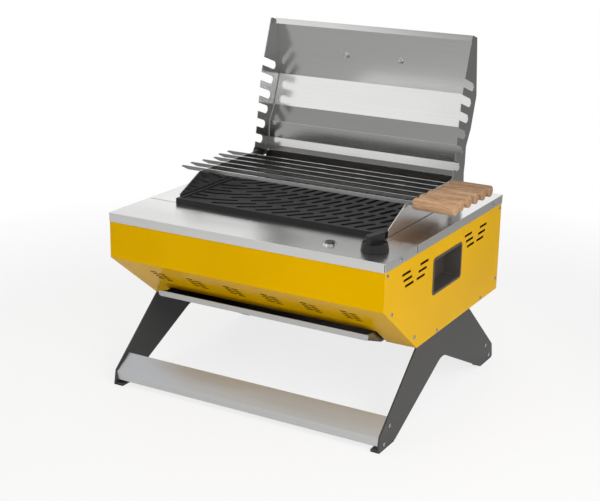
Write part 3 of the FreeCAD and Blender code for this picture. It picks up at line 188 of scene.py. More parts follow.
class GrillSizes(bpy.types.PropertyGroup):
    """Sizes of the finer pieces."""

    grip_edge: length_setting("Grip edge", 2.0, "Rounding at the outer end of a skewer grip")
    socket: length_setting("Screw socket", 2.4, "Width across the socket of a screw head")
    brushing: length_setting("Brushing pitch", 1.6, "Distance between brushed lines on the steel")
    grit: length_setting("Casting grit", 1.4, "Size of the grains on the cast plate")


class GrillStage(bpy.types.PropertyGroup):
    """Floor, lights and camera."""

    floor: colour_setting("Floor", "#F4F4F3", "Studio floor")
    lens: bpy.props.FloatProperty(
        name="Lens", description="Focal length of the camera", subtype="DISTANCE_CAMERA",
        default=76.78,
    )
    key_power: power_setting("Key light", 40, "Power of the light at the front right")
    fill_power: power_setting("Fill light", 9, "Power of the light at the front left")
    pin_power: power_setting("Pin light", 1.6, "Power of the small light for glints")
    room: bpy.props.FloatProperty(
        name="Room light", description="Brightness of the room round the object", min=0,
        default=0.75,
    )
    haze: bpy.props.FloatProperty(
        name="Floor glow", description="Share of the floor that is plain white",
        subtype="FACTOR", min=0, max=1, default=0.78,
    )


# Material tools


def add_node(tree, kind, settings=None, values=None, links=None, stops=None):
    """Adds a node, sets its settings, input values and colour stops, and links its inputs."""
    node = tree.nodes.new(kind)
    for key, value in (settings or {}).items():
        setattr(node, key, value)
    for key, value in (values or {}).items():
        node.inputs[key].default_value = value
    for key, source in (links or {}).items():
        tree.links.new(source, node.inputs[key])
    if stops:
        ramp = node.color_ramp.elements
        while len(ramp) < len(stops):
            ramp.new(0.5)
        for stop, (place, colour) in zip(ramp, stops):
            stop.position = place
            stop.color = rgba(colour)
    return node


def new_material(name):
    """A material with its node tree, its shader and the place on the object, in metres."""
    material = bpy.data.materials.new(name)
    material.use_nodes = True
    tree = material.node_tree
    place = add_node(tree, "ShaderNodeTexCoord").outputs["Object"]
    return material, tree, tree.nodes["Principled BSDF"], place


def set_shader(tree, shader, values=None, links=None):
    """Sets and links the inputs of a material's shader."""
    for key, value in (values or {}).items():
        shader.inputs[key].default_value = value
    for key, source in (links or {}).items():
        tree.links.new(source, shader.inputs[key])


def seen_directly(tree):
    """1 for what the camera sees, directly or in metal and glass, and 0 for what only lights."""
    paths = add_node(tree, "ShaderNodeLightPath")
    seen = add_node(tree, "ShaderNodeMath", {"operation": "MAXIMUM"},
                    links={0: paths.outputs["Is Camera Ray"], 1: paths.outputs["Is Glossy Ray"]})
    return add_node(tree, "ShaderNodeMath", {"operation": "MAXIMUM"},
                    links={0: seen.outputs[0],
                           1: paths.outputs["Is Transmission Ray"]}).outputs[0]


def upward(tree):
    """How far a facet looks up: 1 for a level top, 0 for an upright side."""
    facet = add_node(tree, "ShaderNodeNewGeometry").outputs["True Normal"]
    return add_node(tree, "ShaderNodeSeparateXYZ", links={"Vector": facet}).outputs["Z"]


def mottle(tree, place, size, detail, dark, pale, full=0.7):
    """Patches of a size in metres, and a tone that runs from dark to pale over them."""
    patches = add_node(tree, "ShaderNodeTexNoise", values={"Scale": 1 / size, "Detail": detail},
                       links={"Vector": place}).outputs["Fac"]
    tone = add_node(tree, "ShaderNodeValToRGB", links={"Fac": patches},
                    stops=[(0.3, dark), (full, pale)]).outputs["Color"]
    return patches, tone


def soft_edges(tree, radius, height=None, strength=0.0, depth=0.0):
    """A normal that rounds sharp edges by a radius, with an optional bump over it."""
    rounded = add_node(tree, "ShaderNodeBevel", {"samples": 6}, {"Radius": radius})
    normal = rounded.outputs["Normal"]
    if height is None:
        return normal
    return add_node(tree, "ShaderNodeBump", values={"Strength": strength, "Distance": depth},
                    links={"Height": height, "Normal": normal}).outputs["Normal"]


# Finishes


def powder_enamel(name, colour, painted_shade, middle, rim):
    """Polyester powder coat, baked on steel: an even, glossy skin with a faint orange peel."""
    material, tree, shader, place = new_material(name)
    # Orange peel runs at 2 to 3 mm, and the film is a touch paler or deeper over 120 mm.
    peel = add_node(tree, "ShaderNodeTexNoise", values={"Scale": 1 / (2.5 * MM), "Detail": 2.0},
                    links={"Vector": place})
    _, tone = mottle(tree, place, 120 * MM, 1.0, shade(colour, 0.97), shade(colour, 1.03))
    # The coat covers what faces out: facets that look away from the body's middle, from over
    # 70 mm. Edges that look up, the inner faces and the rim under the top are painted dark, as
    # painted shade for the slots, the slits between panels and the gap under the top.
    position = add_node(tree, "ShaderNodeNewGeometry").outputs["Position"]
    facet = add_node(tree, "ShaderNodeNewGeometry").outputs["True Normal"]
    outward = add_node(tree, "ShaderNodeVectorMath", {"operation": "SUBTRACT"}, {1: middle},
                       {0: position})
    reach = add_node(tree, "ShaderNodeVectorMath", {"operation": "DOT_PRODUCT"},
                     links={0: outward.outputs["Vector"], 1: facet})
    outside = add_node(tree, "ShaderNodeMath", {"operation": "GREATER_THAN"}, {1: 70 * MM},
                       {0: reach.outputs["Value"]})
    height = add_node(tree, "ShaderNodeSeparateXYZ", links={"Vector": position}).outputs["Z"]
    below = add_node(tree, "ShaderNodeMath", {"operation": "LESS_THAN"}, {1: rim}, {0: height})
    upright = add_node(tree, "ShaderNodeMath", {"operation": "LESS_THAN"}, {1: 0.05},
                       {0: upward(tree)})
    face = add_node(tree, "ShaderNodeMath", {"operation": "MULTIPLY"},
                    links={0: outside.outputs[0], 1: upright.outputs[0]})
    coated = add_node(tree, "ShaderNodeMath", {"operation": "MULTIPLY"},
                      links={0: face.outputs[0], 1: below.outputs[0]})
    skin = add_node(tree, "ShaderNodeMix", {"data_type": "RGBA"}, {MIX_A: rgba(painted_shade)},
                    {"Factor": coated.outputs[0], MIX_B: tone})
    # The pigment tints the shine, so the coat stays deep in colour where it mirrors pale things.
    set_shader(tree, shader,
               {"Roughness": 0.22, "IOR": 1.3, "Specular IOR Level": 0.15,
                "Specular Tint": rgba(linear("#FFC21A"))},
               {"Base Color": skin.outputs[MIX_RESULT],
                "Normal": soft_edges(tree, 0.7 * MM, peel.outputs["Fac"], strength=0.04,
                                     depth=0.1 * MM)})
    return material


def brushed_stainless(name, colour, pitch, axis, roughness):
    """Cold-rolled stainless sheet, belt-brushed: fine lines that stretch each highlight."""
    material, tree, shader, place = new_material(name)
    # Real brushing is under 0.1 mm apart. It is drawn coarse enough to show, with its lines 150
    # times as long as wide, along the given axis.
    scale = [1 / pitch] * 3
    scale[axis] /= 150
    stretched = add_node(tree, "ShaderNodeMapping", values={"Scale": scale},
                         links={"Vector": place})
    lines = add_node(tree, "ShaderNodeTexNoise",
                     values={"Scale": 1.0, "Detail": 3.0, "Roughness": 0.7},
                     links={"Vector": stretched.outputs["Vector"]})
    tone = add_node(tree, "ShaderNodeValToRGB", links={"Fac": lines.outputs["Fac"]},
                    stops=[(0.3, shade(colour, 0.97)), (0.7, shade(colour, 1.03))])
    # Wiped smudges, 60 mm across, change the polish together with the lines.
    smudges = add_node(tree, "ShaderNodeTexNoise", values={"Scale": 1 / (60 * MM), "Detail": 3.0},
                       links={"Vector": place})
    mixed = add_node(tree, "ShaderNodeMath", {"operation": "MULTIPLY_ADD"}, {1: 0.5},
                     {0: lines.outputs["Fac"], 2: smudges.outputs["Fac"]})
    polish = add_node(tree, "ShaderNodeMapRange",
                      values={"From Min": 0.35, "From Max": 1.15,
                              "To Min": roughness - 0.015, "To Max": roughness + 0.03},
                      links={"Value": mixed.outputs[0]})
    set_shader(tree, shader, {"Metallic": 1.0, "Anisotropic": 0.4},
               {"Base Color": tone.outputs["Color"], "Roughness": polish.outputs["Result"],
                "Normal": soft_edges(tree, 0.5 * MM, lines.outputs["Fac"], strength=0.008,
                                     depth=0.02 * MM)})
    return material


def drawn_steel(name, colour, roughness):
    """Plain stainless, drawn or turned bright: small parts with a clean, slightly soft shine."""
    material, tree, shader, place = new_material(name)
    # Handling marks are 30 mm across.
    marks, tone = mottle(tree, place, 30 * MM, 2.0, shade(colour, 0.94), shade(colour, 1.04))
    polish = add_node(tree, "ShaderNodeMapRange",
                      values={"To Min": roughness - 0.04, "To Max": roughness + 0.06},
                      links={"Value": marks})
    set_shader(tree, shader, {"Metallic": 1.0},
               {"Base Color": tone, "Roughness": polish.outputs["Result"],
                "Normal": soft_edges(tree, 0.4 * MM)})
    return material


def rolled_blade(name, colour):
    """Flat-rolled stainless skewer: sides painted dark as painted shade, and up-facing edges
    painted bright as a painted highlight.
    """
    material, tree, shader, place = new_material(name)
    # Burnt-in patches are about 30 mm long. The sides are painted at half to two thirds of the
    # steel's colour, as painted shade.
    patches, dull = mottle(tree, place, 30 * MM, 2.0, shade(colour, 0.5), shade(colour, 0.66))
    # The blades stand on edge, so the edge that shows is the one that looks up. It is painted
    # half again as bright as the steel, as a painted highlight.
    edge = add_node(tree, "ShaderNodeMapRange", values={"From Min": 0.4, "From Max": 0.8},
                    links={"Value": upward(tree)})
    tone = add_node(tree, "ShaderNodeMix", {"data_type": "RGBA"},
                    {MIX_B: rgba(shade(colour, 1.5))},
                    {"Factor": edge.outputs["Result"], MIX_A: dull})
    polish = add_node(tree, "ShaderNodeMapRange", values={"To Min": 0.16, "To Max": 0.28},
                      links={"Value": patches})
    set_shader(tree, shader, {"Metallic": 1.0},
               {"Base Color": tone.outputs[MIX_RESULT], "Roughness": polish.outputs["Result"]})
    return material


def plated_brass(name, colour):
    """Brass, polished and chrome-plated: a clear mirror with a cool tint."""
    material, tree, shader, place = new_material(name)
    # Wiping wears the polish in patches of 6 mm.
    wear = add_node(tree, "ShaderNodeTexNoise", values={"Scale": 1 / (6 * MM), "Detail": 4.0},
                    links={"Vector": place})
    polish = add_node(tree, "ShaderNodeMapRange", values={"To Min": 0.04, "To Max": 0.12},
                      links={"Value": wear.outputs["Fac"]})
    set_shader(tree, shader, {"Metallic": 1.0, "Base Color": rgba(colour)},
               {"Roughness": polish.outputs["Result"]})
    return material


def zinc_sheet(name):
    """Hot-dip galvanised sheet: dull grey crystals a centimetre across, each with its tone."""
    material, tree, shader, place = new_material(name)
    crystals = add_node(tree, "ShaderNodeTexVoronoi", values={"Scale": 1 / (11 * MM)},
                        links={"Vector": place})
    tone = add_node(tree, "ShaderNodeValToRGB", links={"Fac": crystals.outputs["Color"]},
                    stops=[(0.1, linear("#8B8E90")), (0.9, linear("#B4B7B8"))])
    set_shader(tree, shader, {"Metallic": 1.0, "Roughness": 0.42},
               {"Base Color": tone.outputs["Color"]})
    return material


def heated_sheath(name):
    """Nickel-iron sheath, annealed in use: brown-black with a dull metallic shine."""
    material, tree, shader, place = new_material(name)
    # Scale forms in patches of 25 mm.
    _, tone = mottle(tree, place, 25 * MM, 3.0, linear("#2B2724"), linear("#5A504A"))
    set_shader(tree, shader, {"Metallic": 1.0, "Roughness": 0.5}, {"Base Color": tone})
    return material


def seasoned_iron(name, colour, grit):
    """Sand-cast iron, oiled and burnt in: near black, with a fine grit that catches lights."""
    material, tree, shader, place = new_material(name)
    grains = add_node(tree, "ShaderNodeTexNoise",
                      values={"Scale": 1 / grit, "Detail": 5.0, "Roughness": 0.65},
                      links={"Vector": place})
    # Oil burns in patches of 45 mm.
    oil, tone = mottle(tree, place, 45 * MM, 3.0, shade(colour, 0.85), shade(colour, 1.25),
                       full=0.75)
    # The tops of the bars keep the iron's colour, as a painted highlight, and their sides and
    # the slots are painted at three tenths of it, as painted shade.
    lit_tops = add_node(tree, "ShaderNodeMapRange", values={"From Min": 0.3, "From Max": 0.9},
                      links={"Value": upward(tree)})
    slot_shade = add_node(tree, "ShaderNodeMix", {"data_type": "RGBA"},
                     {MIX_A: rgba(shade(colour, 0.3))},
                     {"Factor": lit_tops.outputs["Result"], MIX_B: tone})
    polish = add_node(tree, "ShaderNodeMapRange", values={"To Min": 0.4, "To Max": 0.62},
                      links={"Value": oil})
    set_shader(tree, shader, {"IOR": 1.5, "Specular IOR Level": 0.4},
               {"Base Color": slot_shade.outputs[MIX_RESULT], "Roughness": polish.outputs["Result"],
                "Normal": soft_edges(tree, 1.2 * MM, grains.outputs["Fac"], strength=0.3,
                                     depth=0.25 * MM)})
    return material


def satin_coat(name, colour):
    """Fine-textured powder coat on steel: grey with a soft, grainy sheen."""
    material, tree, shader, place = new_material(name)
    # The texture's grains are 1.2 mm across.
    grains, tone = mottle(tree, place, 1.2 * MM, 3.0, shade(colour, 0.92), shade(colour, 1.08))
    set_shader(tree, shader, {"Roughness": 0.45, "IOR": 1.5},
               {"Base Color": tone,
                "Normal": soft_edges(tree, 0.8 * MM, grains, strength=0.12, depth=0.12 * MM)})
    return material


def moulded_plastic(name, colour, roughness):
    """Heat-resisting thermoplastic from a spark-eroded mould: a fine leather-like grain."""
    material, tree, shader, place = new_material(name)
    # The mould's grain is 0.9 mm across.
    grain, tone = mottle(tree, place, 0.9 * MM, 2.0, shade(colour, 0.9), shade(colour, 1.12))
    set_shader(tree, shader, {"Roughness": roughness, "IOR": 1.5},
               {"Base Color": tone,
                "Normal": soft_edges(tree, 0.8 * MM, grain, strength=0.12, depth=0.08 * MM)})
    return material


def nitrile_rubber(name):
    """Nitrile rubber, die-cut: matt black with a dusty skin."""
    material, tree, shader, place = new_material(name)
    # Dust lies in specks of 5 mm.
    _, tone = mottle(tree, place, 5 * MM, 4.0, linear("#161616"), linear("#2A2A2A"), full=0.8)
    set_shader(tree, shader, {"Roughness": 0.8, "IOR": 1.52}, {"Base Color": tone})
    return material


def steatite(name):
    """Steatite ceramic, pressed and fired unglazed: chalky white with a 1 mm speckle."""
    material, tree, shader, place = new_material(name)
    _, tone = mottle(tree, place, 1 * MM, 4.0, linear("#CFCABF"), linear("#E6E2D9"))
    set_shader(tree, shader, {"Roughness": 0.7, "IOR": 1.6}, {"Base Color": tone})
    return material


def turned_beech(name, light, dark):
    """Beech, turned and sanded: pale, with short darker flecks and slow bands on the grain."""
    material, tree, shader, place = new_material(name)
    # Flecks are 0.8 mm wide and 12 mm long, and bands are 4 mm wide and 70 mm long.
    fleck_space, band_space = (
        add_node(tree, "ShaderNodeMapping",
                 values={"Scale": (1 / (long * MM), 1 / (wide * MM), 1 / (wide * MM))},
                 links={"Vector": place}).outputs["Vector"]
        for long, wide in ((12, 0.8), (70, 4))
    )
    flecks = add_node(tree, "ShaderNodeTexNoise",
                      values={"Scale": 1.0, "Detail": 4.0, "Roughness": 0.6},
                      links={"Vector": fleck_space})
    bands = add_node(tree, "ShaderNodeTexNoise",
                     values={"Scale": 1.0, "Detail": 2.0, "Distortion": 0.6},
                     links={"Vector": band_space})
    mixed = add_node(tree, "ShaderNodeMix", values={"Factor": 0.45},
                     links={"A": flecks.outputs["Fac"], "B": bands.outputs["Fac"]})
    middle = [(a + b) / 2 for a, b in zip(light, dark)]
    tone = add_node(tree, "ShaderNodeValToRGB", links={"Fac": mixed.outputs[0]},
                    stops=[(0.36, dark), (0.48, middle), (0.62, light)])
    bump = add_node(tree, "ShaderNodeBump", values={"Strength": 0.12, "Distance": 0.1 * MM},
                    links={"Height": flecks.outputs["Fac"]})
    set_shader(tree, shader, {"Roughness": 0.5, "IOR": 1.5},
               {"Base Color": tone.outputs["Color"], "Normal": bump.outputs["Normal"]})
    return material


def studio_floor(name, colour, glow):
    """Lacquered board: pale, with a faint, soft mirror of what stands on it."""
    material, tree, shader, place = new_material(name)
    # The lacquer's gloss changes over a third of a metre.
    haze = add_node(tree, "ShaderNodeTexNoise", values={"Scale": 3.0, "Detail": 2.0},
                    links={"Vector": place})
    polish = add_node(tree, "ShaderNodeMapRange", values={"To Min": 0.35, "To Max": 0.5},
                      links={"Value": haze.outputs["Fac"]})
    # The board is painted darker from 0.75 m out, and behind the object on its right, away from
    # the lamps, from 0.45 m out: painted shade that mirrors show as a dim room.
    away = add_node(tree, "ShaderNodeVectorMath", {"operation": "LENGTH"}, links={0: place})
    far = add_node(tree, "ShaderNodeMapRange", values={"From Min": 0.75, "From Max": 1.4},
                   links={"Value": away.outputs["Value"]}).outputs["Result"]
    corner = add_node(tree, "ShaderNodeVectorMath", {"operation": "DOT_PRODUCT"},
                      {1: (0.8, 0.6, 0)}, {0: place})
    dim = add_node(tree, "ShaderNodeMapRange", values={"From Min": 0.45, "From Max": 1.0},
                   links={"Value": corner.outputs["Value"]})
    loss = add_node(tree, "ShaderNodeMath", {"operation": "MULTIPLY"}, {1: 0.45}, {0: far})
    worst = add_node(tree, "ShaderNodeMath", {"operation": "MAXIMUM"},
                     links={0: loss.outputs[0], 1: dim.outputs["Result"]}).outputs[0]
    tone = add_node(tree, "ShaderNodeValToRGB", links={"Fac": worst},
                    stops=[(0, colour), (1, shade(colour, 0.5))])
    set_shader(tree, shader, {"IOR": 1.4, "Specular IOR Level": 0.2},
               {"Base Color": tone.outputs["Color"], "Roughness": polish.outputs["Result"]})
    # The camera also sees a white sweep: a share of it near the object, and all of it far out.
    # Mirrors see a quarter of that share near the object. It lights nothing, and the object's
    # shadow stays.
    white = add_node(tree, "ShaderNodeEmission", values={"Color": (1, 1, 1, 1), "Strength": 1.0})
    paths = add_node(tree, "ShaderNodeLightPath")
    whole = add_node(tree, "ShaderNodeMapRange", values={"To Min": glow, "To Max": 1.0},
                     links={"Value": far})
    direct = add_node(tree, "ShaderNodeMath", {"operation": "MULTIPLY"},
                      links={0: whole.outputs["Result"], 1: paths.outputs["Is Camera Ray"]})
    mirrored = add_node(tree, "ShaderNodeMath", {"operation": "MAXIMUM"},
                        links={0: paths.outputs["Is Glossy Ray"],
                               1: paths.outputs["Is Transmission Ray"]})
    near = add_node(tree, "ShaderNodeMapRange", values={"To Min": glow / 4, "To Max": 0.0},
                    links={"Value": worst})
    weak = add_node(tree, "ShaderNodeMath", {"operation": "MULTIPLY"},
                    links={0: mirrored.outputs[0], 1: near.outputs["Result"]})
    share = add_node(tree, "ShaderNodeMath", {"operation": "MAXIMUM"},
                     links={0: direct.outputs[0], 1: weak.outputs[0]})
    mixed = add_node(tree, "ShaderNodeMixShader",
                     links={0: share.outputs[0], 1: shader.outputs["BSDF"],
                            2: white.outputs["Emission"]})
    surface = tree.nodes["Material Output"].inputs["Surface"]
    tree.links.new(mixed.outputs["Shader"], surface)
    return material


# Mesh tools


def finish_mesh(name, shape, material, body, sharp=35):
    """Turns a built shape into an object with smooth shading that rides on a body."""
    mesh = bpy.data.meshes.new(name)
    shape.normal_update()
    shape.to_mesh(mesh)
    shape.free()
    mesh.shade_smooth()
    mesh.set_sharp_from_angle(angle=math.radians(sharp))
    mesh.materials.append(material)
    piece = bpy.data.objects.new(name, mesh)
    bpy.context.scene.collection.objects.link(piece)
    if body:
        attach(piece, body)
    return piece


def to_size(rows, radius, height):
    """The rows of a profile, from shares to metres."""
    return [(wide * radius, tall * height, corners) for wide, tall, corners in rows]


def add_rings(shape, profile, turn, sides=48):
    """Adds a turned solid from rows of a radius, a height and a ring's corners, 0 for round."""
    rings = []
    for radius, height, corners in profile:
        if radius == 0:
            rings.append([shape.verts.new(turn @ Vector((0, 0, height)))])
            continue
        spots = []
        for step in range(sides):
            angle = 2 * math.pi * step / sides
            reach = radius
            if corners:
                span = 2 * math.pi / corners
                reach = radius / math.cos((angle % span) - span / 2)
            spot = Vector((reach * math.cos(angle), reach * math.sin(angle), height))
            spots.append(shape.verts.new(turn @ spot))
        rings.append(spots)
    for low, high in zip(rings, rings[1:]):
        for step in range(sides):
            after = (step + 1) % sides
            if len(low) == 1:
                shape.faces.new((low[0], high[after], high[step]))
            elif len(high) == 1:
                shape.faces.new((low[step], low[after], high[0]))
            else:
                shape.faces.new((low[step], low[after], high[after], high[step]))
    bmesh.ops.recalc_face_normals(shape, faces=shape.faces)


def loose_parts(node):
    """The corner points of each separate solid in a CAD node."""
    shape = bmesh.new()
    shape.from_mesh(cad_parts[node].data)
    bmesh.ops.remove_doubles(shape, verts=shape.verts, dist=1e-6)
    waiting = set(shape.verts)
    parts = []
    for first in shape.verts:
        if first not in waiting:
            continue
        waiting.remove(first)
        front = [first]
        spots = []
        while front:
            corner = front.pop()
            spots.append(corner.co.copy())
            for edge in corner.link_edges:
                other = edge.other_vert(corner)
                if other in waiting:
                    waiting.remove(other)
                    front.append(other)
        parts.append(spots)
    shape.free()
    return parts


def paint(material, *nodes):
    """Gives CAD nodes a finish."""
    for node in nodes:
        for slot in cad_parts[node].material_slots:
            slot.material = material


def facing(direction):
    """The turn that stands a piece's own Z along a direction."""
    return direction.to_track_quat("Z", "Y").to_matrix().to_4x4()


# Operators


class GrillPaintedBody(bpy.types.Operator):
    """Coats the front, sides and back, and finishes the grips and the zinc sheets inside"""

    bl_idname = "grill.painted_body"
    bl_label = "Painted Body"

    def execute(self, context):
        colours = context.scene.grill_colours
        low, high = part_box("side_panel_right")
        middle = (0, (low.y + high.y) / 2, (low.z + high.z) / 2)
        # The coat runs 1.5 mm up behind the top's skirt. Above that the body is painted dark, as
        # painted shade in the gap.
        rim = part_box("top_front_panel")[0].z + 1.5 * MM
        enamel = powder_enamel("powder_enamel", colours.enamel, colours.painted_shade, middle, rim)
        paint(enamel, "front_panel", "side_panel_right", "side_panel_left", "rear_panel")
        paint(zinc_sheet("zinc_sheet"), "bottom_panel", "firebox", "tray_runner_right",
              "tray_runner_left", "element_brackets")
        cups = moulded_plastic("moulded_grip_plastic", colours.cups, roughness=0.5)
        paint(cups, "grip_cup_right", "grip_cup_left")
        return {"FINISHED"}


class GrillSteelSheets(bpy.types.Operator):
    """Finishes the top, drawer, crossbars, rests and guard, and folds the guard's ends"""

    bl_idname = "grill.steel_sheets"
    bl_label = "Steel Sheets"

    def execute(self, context):
        colours = context.scene.grill_colours
        pitch = context.scene.grill_sizes.brushing
        wide = brushed_stainless("brushed_stainless_wide", colours.steel, pitch, WIDTHWISE,
                                 roughness=0.24)
        paint(wide, "top_front_panel", "top_rear_panel")
        deep = brushed_stainless("brushed_stainless_deep", colours.steel, pitch, DEPTHWISE,
                                 roughness=0.17)
        paint(deep, "top_side_panel_right", "top_side_panel_left", "skewer_rest_right",
              "skewer_rest_left")
        bars = brushed_stainless("brushed_stainless_bars", colours.bars, pitch, WIDTHWISE,
                                 roughness=0.38)
        paint(bars, "front_crossbar", "rear_crossbar")
        # The drawer is a darker copy of the top's steel, at two thirds of its brightness.
        drawer = brushed_stainless("brushed_stainless_drawer", shade(colours.steel, 0.66), pitch,
                                   WIDTHWISE, roughness=0.3)
        paint(drawer, "drip_tray", "tray_lip")
        # The guard is finished in a darker steel than the top.
        dulled = brushed_stainless("dark_guard_stainless", colours.guard, pitch, WIDTHWISE,
                                   roughness=0.38)
        paint(dulled, "rear_guard")
        paint(satin_coat("heat_proof_tab_coat", colours.tabs), "guard_tabs")
        self.guard_folds(dulled)
        return {"FINISHED"}

    def guard_folds(self, steel):
        """The guard's ends, folded forward between its foot and its top."""
        low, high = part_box("rear_guard")
        thick = 1 * MM
        front, back = low.y + thick, high.y - thick
        bottom, top = low.z + thick, high.z - thick
        # The front corner is cut off at the top.
        cut_back, cut_down = low.y + 6 * MM, high.z - 7 * MM
        outline = [(front, bottom), (back, bottom), (back, top), (cut_back, top),
                   (front, cut_down)]
        shape = bmesh.new()
        for edge, side in ((low.x, 1), (high.x, -1)):
            outer, inner = ([shape.verts.new((edge + side * offset, y, z)) for y, z in outline]
                            for offset in (0, thick))
            shape.faces.new(outer)
            shape.faces.new(inner[::-1])
            for index in range(len(outline)):
                after = (index + 1) % len(outline)
                shape.faces.new((outer[index], inner[index], inner[after], outer[after]))
        bmesh.ops.recalc_face_normals(shape, faces=shape.faces)
        folds = finish_mesh("guard_end_folds", shape, steel, "base")


class GrillStand(bpy.types.Operator):
    """Coats the legs and their rubber pads"""

    bl_idname = "grill.stand"
    bl_label = "Stand"

    def execute(self, context):
        coat = satin_coat("satin_powder_coat", context.scene.grill_colours.legs)
        paint(coat, "leg_right", "leg_left")
        paint(nitrile_rubber("nitrile_rubber"), "foot_pads")
        return {"FINISHED"}


class GrillFire(bpy.types.Operator):
    """Finishes the cast plate, the element and the electric parts"""

    bl_idname = "grill.fire"
    bl_label = "Plate and Element"

    def execute(self, context):
        colours = context.scene.grill_colours
        iron = seasoned_iron("seasoned_cast_iron", colours.iron, context.scene.grill_sizes.grit)
        paint(iron, "grill_plate")
        paint(heated_sheath("heated_nickel_sheath"), "heating_element")
        paint(steatite("steatite_ceramic"), "terminal_blocks", "thermostat_body")
        inner = moulded_plastic("moulded_switch_plastic", colours.switch, roughness=0.45)
        paint(inner, "switch_body", "power_inlet")
        return {"FINISHED"}


class GrillLid(bpy.types.Operator):
    """Finishes the lid, its comb sides and its handle, and adds the welds at its ends"""

    bl_idname = "grill.lid"
    bl_label = "Lid"

    def execute(self, context):
        colours = context.scene.grill_colours
        pitch = context.scene.grill_sizes.brushing
        # The lid is a darker copy of the top's steel, and its comb sides are darker again at 0.8
        # of it, both painted shade.
        shell = brushed_stainless("brushed_stainless_lid", colours.lid, pitch, WIDTHWISE,
                                  roughness=0.15)
        paint(shell, "lid_shell")
        comb = brushed_stainless("brushed_stainless_comb", shade(colours.lid, 0.8), pitch,
                                 DEPTHWISE, roughness=0.2)
        paint(comb, "lid_side_right", "lid_side_left")
        handle = moulded_plastic("moulded_handle_plastic", colours.plastic, roughness=0.4)
        paint(handle, "lid_handle")
        weld = drawn_steel("ground_weld_steel", colours.weld, roughness=0.34)
        low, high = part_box("lid_shell")
        self.weld_bead("weld_bead_left", weld, low.x, 1)
        self.weld_bead("weld_bead_right", weld, high.x, -1)
        return {"FINISHED"}

    def weld_bead(self, name, steel, end, inward):
        """The ground weld where the folded shell meets a comb side, inside its profile."""
        reach = 0.9 * MM
        corners = {(round(spot.co.y, 5), round(spot.co.z, 5))
                   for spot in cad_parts["lid_shell"].data.vertices
                   if abs(spot.co.x - end) < 0.3 * MM}
        # The sheet has two faces and round bends, so corners within 4 mm of height become one.
        line = []
        for y, z in sorted(corners, key=lambda corner: -corner[1]):
            if line and abs(line[-1][1] - z) < 4 * MM:
                line[-1] = min(line[-1], (y, z))
            else:
                line.append((y, z))
        # The hem at the top and the foot at the bottom are left free.
        line = line[1:-1]
        curve = bpy.data.curves.new("weld_bead", "CURVE")
        curve.dimensions = "3D"
        curve.bevel_depth = reach
        curve.bevel_resolution = 2
        curve.use_fill_caps = True
        spline = curve.splines.new("POLY")
        spline.points.add(len(line) - 1)
        for point, (y, z) in zip(spline.points, line):
            # It is sunk in the corner by four tenths of its radius.
            point.co = (end + inward * reach, y - reach * 0.6, z, 1)
        curve.materials.append(steel)
        bead = bpy.data.objects.new(name, curve)
        bpy.context.scene.collection.objects.link(bead)
        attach(bead, "lid")


class GrillSkewers(bpy.types.Operator):
    """Finishes the blades and turns the wooden grips"""

    bl_idname = "grill.skewers"
    bl_label = "Skewers"

    def execute(self, context):
        colours = context.scene.grill_colours
        edge = context.scene.grill_sizes.grip_edge
        steel = rolled_blade("rolled_blade_steel", colours.blade)
        for index in SKEWERS:
            paint(steel, f"skewer_blade_{index}")
            # The grips further back are painted darker, as painted shade.
            shade_factor = 1.0 - GRIP_PAINTED_SHADE * (index - 1) / (len(SKEWERS) - 1)
            beech = turned_beech(f"turned_beech_{index}", shade(colours.wood_light, shade_factor),
                                 shade(colours.wood_dark, shade_factor))
            low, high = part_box(f"skewer_handle_{index}")
            # It stays 0.05 mm inside the CAD cylinder.
            radius = (high.z - low.z) / 2 - 0.05 * MM
            shape = bmesh.new()
            foot = Vector((low.x, (low.y + high.y) / 2, (low.z + high.z) / 2))
            turn = Matrix.Translation(foot) @ facing(Vector((1, 0, 0)))
            add_rings(shape, self.grip_profile(radius, high.x - low.x, edge), turn)
            grip = finish_mesh(f"turned_grip_{index}", shape, beech, f"skewer_{index}", sharp=60)
            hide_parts(f"skewer_handle_{index}")
        return {"FINISHED"}

    def grip_profile(self, radius, length, edge):
        """A grip from its neck at the blade to its rounded outer end."""
        profile = to_size(GRIP_NECK, radius, MM)
        profile.append((radius, length * GRIP_BELLY, 0))
        profile.append((radius * GRIP_TAPER, length - 2.6 * edge, 0))
        for step in range(1, GRIP_END_RINGS + 1):
            angle = math.pi / 2 * step / GRIP_END_RINGS
            profile.append((radius - edge * (1 - math.cos(angle)),
                            length - edge * (1 - math.sin(angle)), 0))
        profile.append((0, length, 0))
        return profile


class GrillControls(bpy.types.Operator):
    """Finishes the knob, its shaft and the push button"""

    bl_idname = "grill.controls"
    bl_label = "Controls"

    def execute(self, context):
        colours = context.scene.grill_colours
        knob = moulded_plastic("moulded_knob_plastic", colours.plastic, roughness=0.42)
        paint(knob, "knob")
        shaft = drawn_steel("turned_shaft_steel", colours.blade, roughness=0.3)
        paint(shaft, "thermostat_shaft")
        paint(plated_brass("plated_brass", colours.ring), "button_bezel")
        # The cap is the same plating painted darker, as a painted reflection of dark
        # surroundings.
        paint(plated_brass("plated_brass_cap", colours.cap), "button_cap")
        return {"FINISHED"}


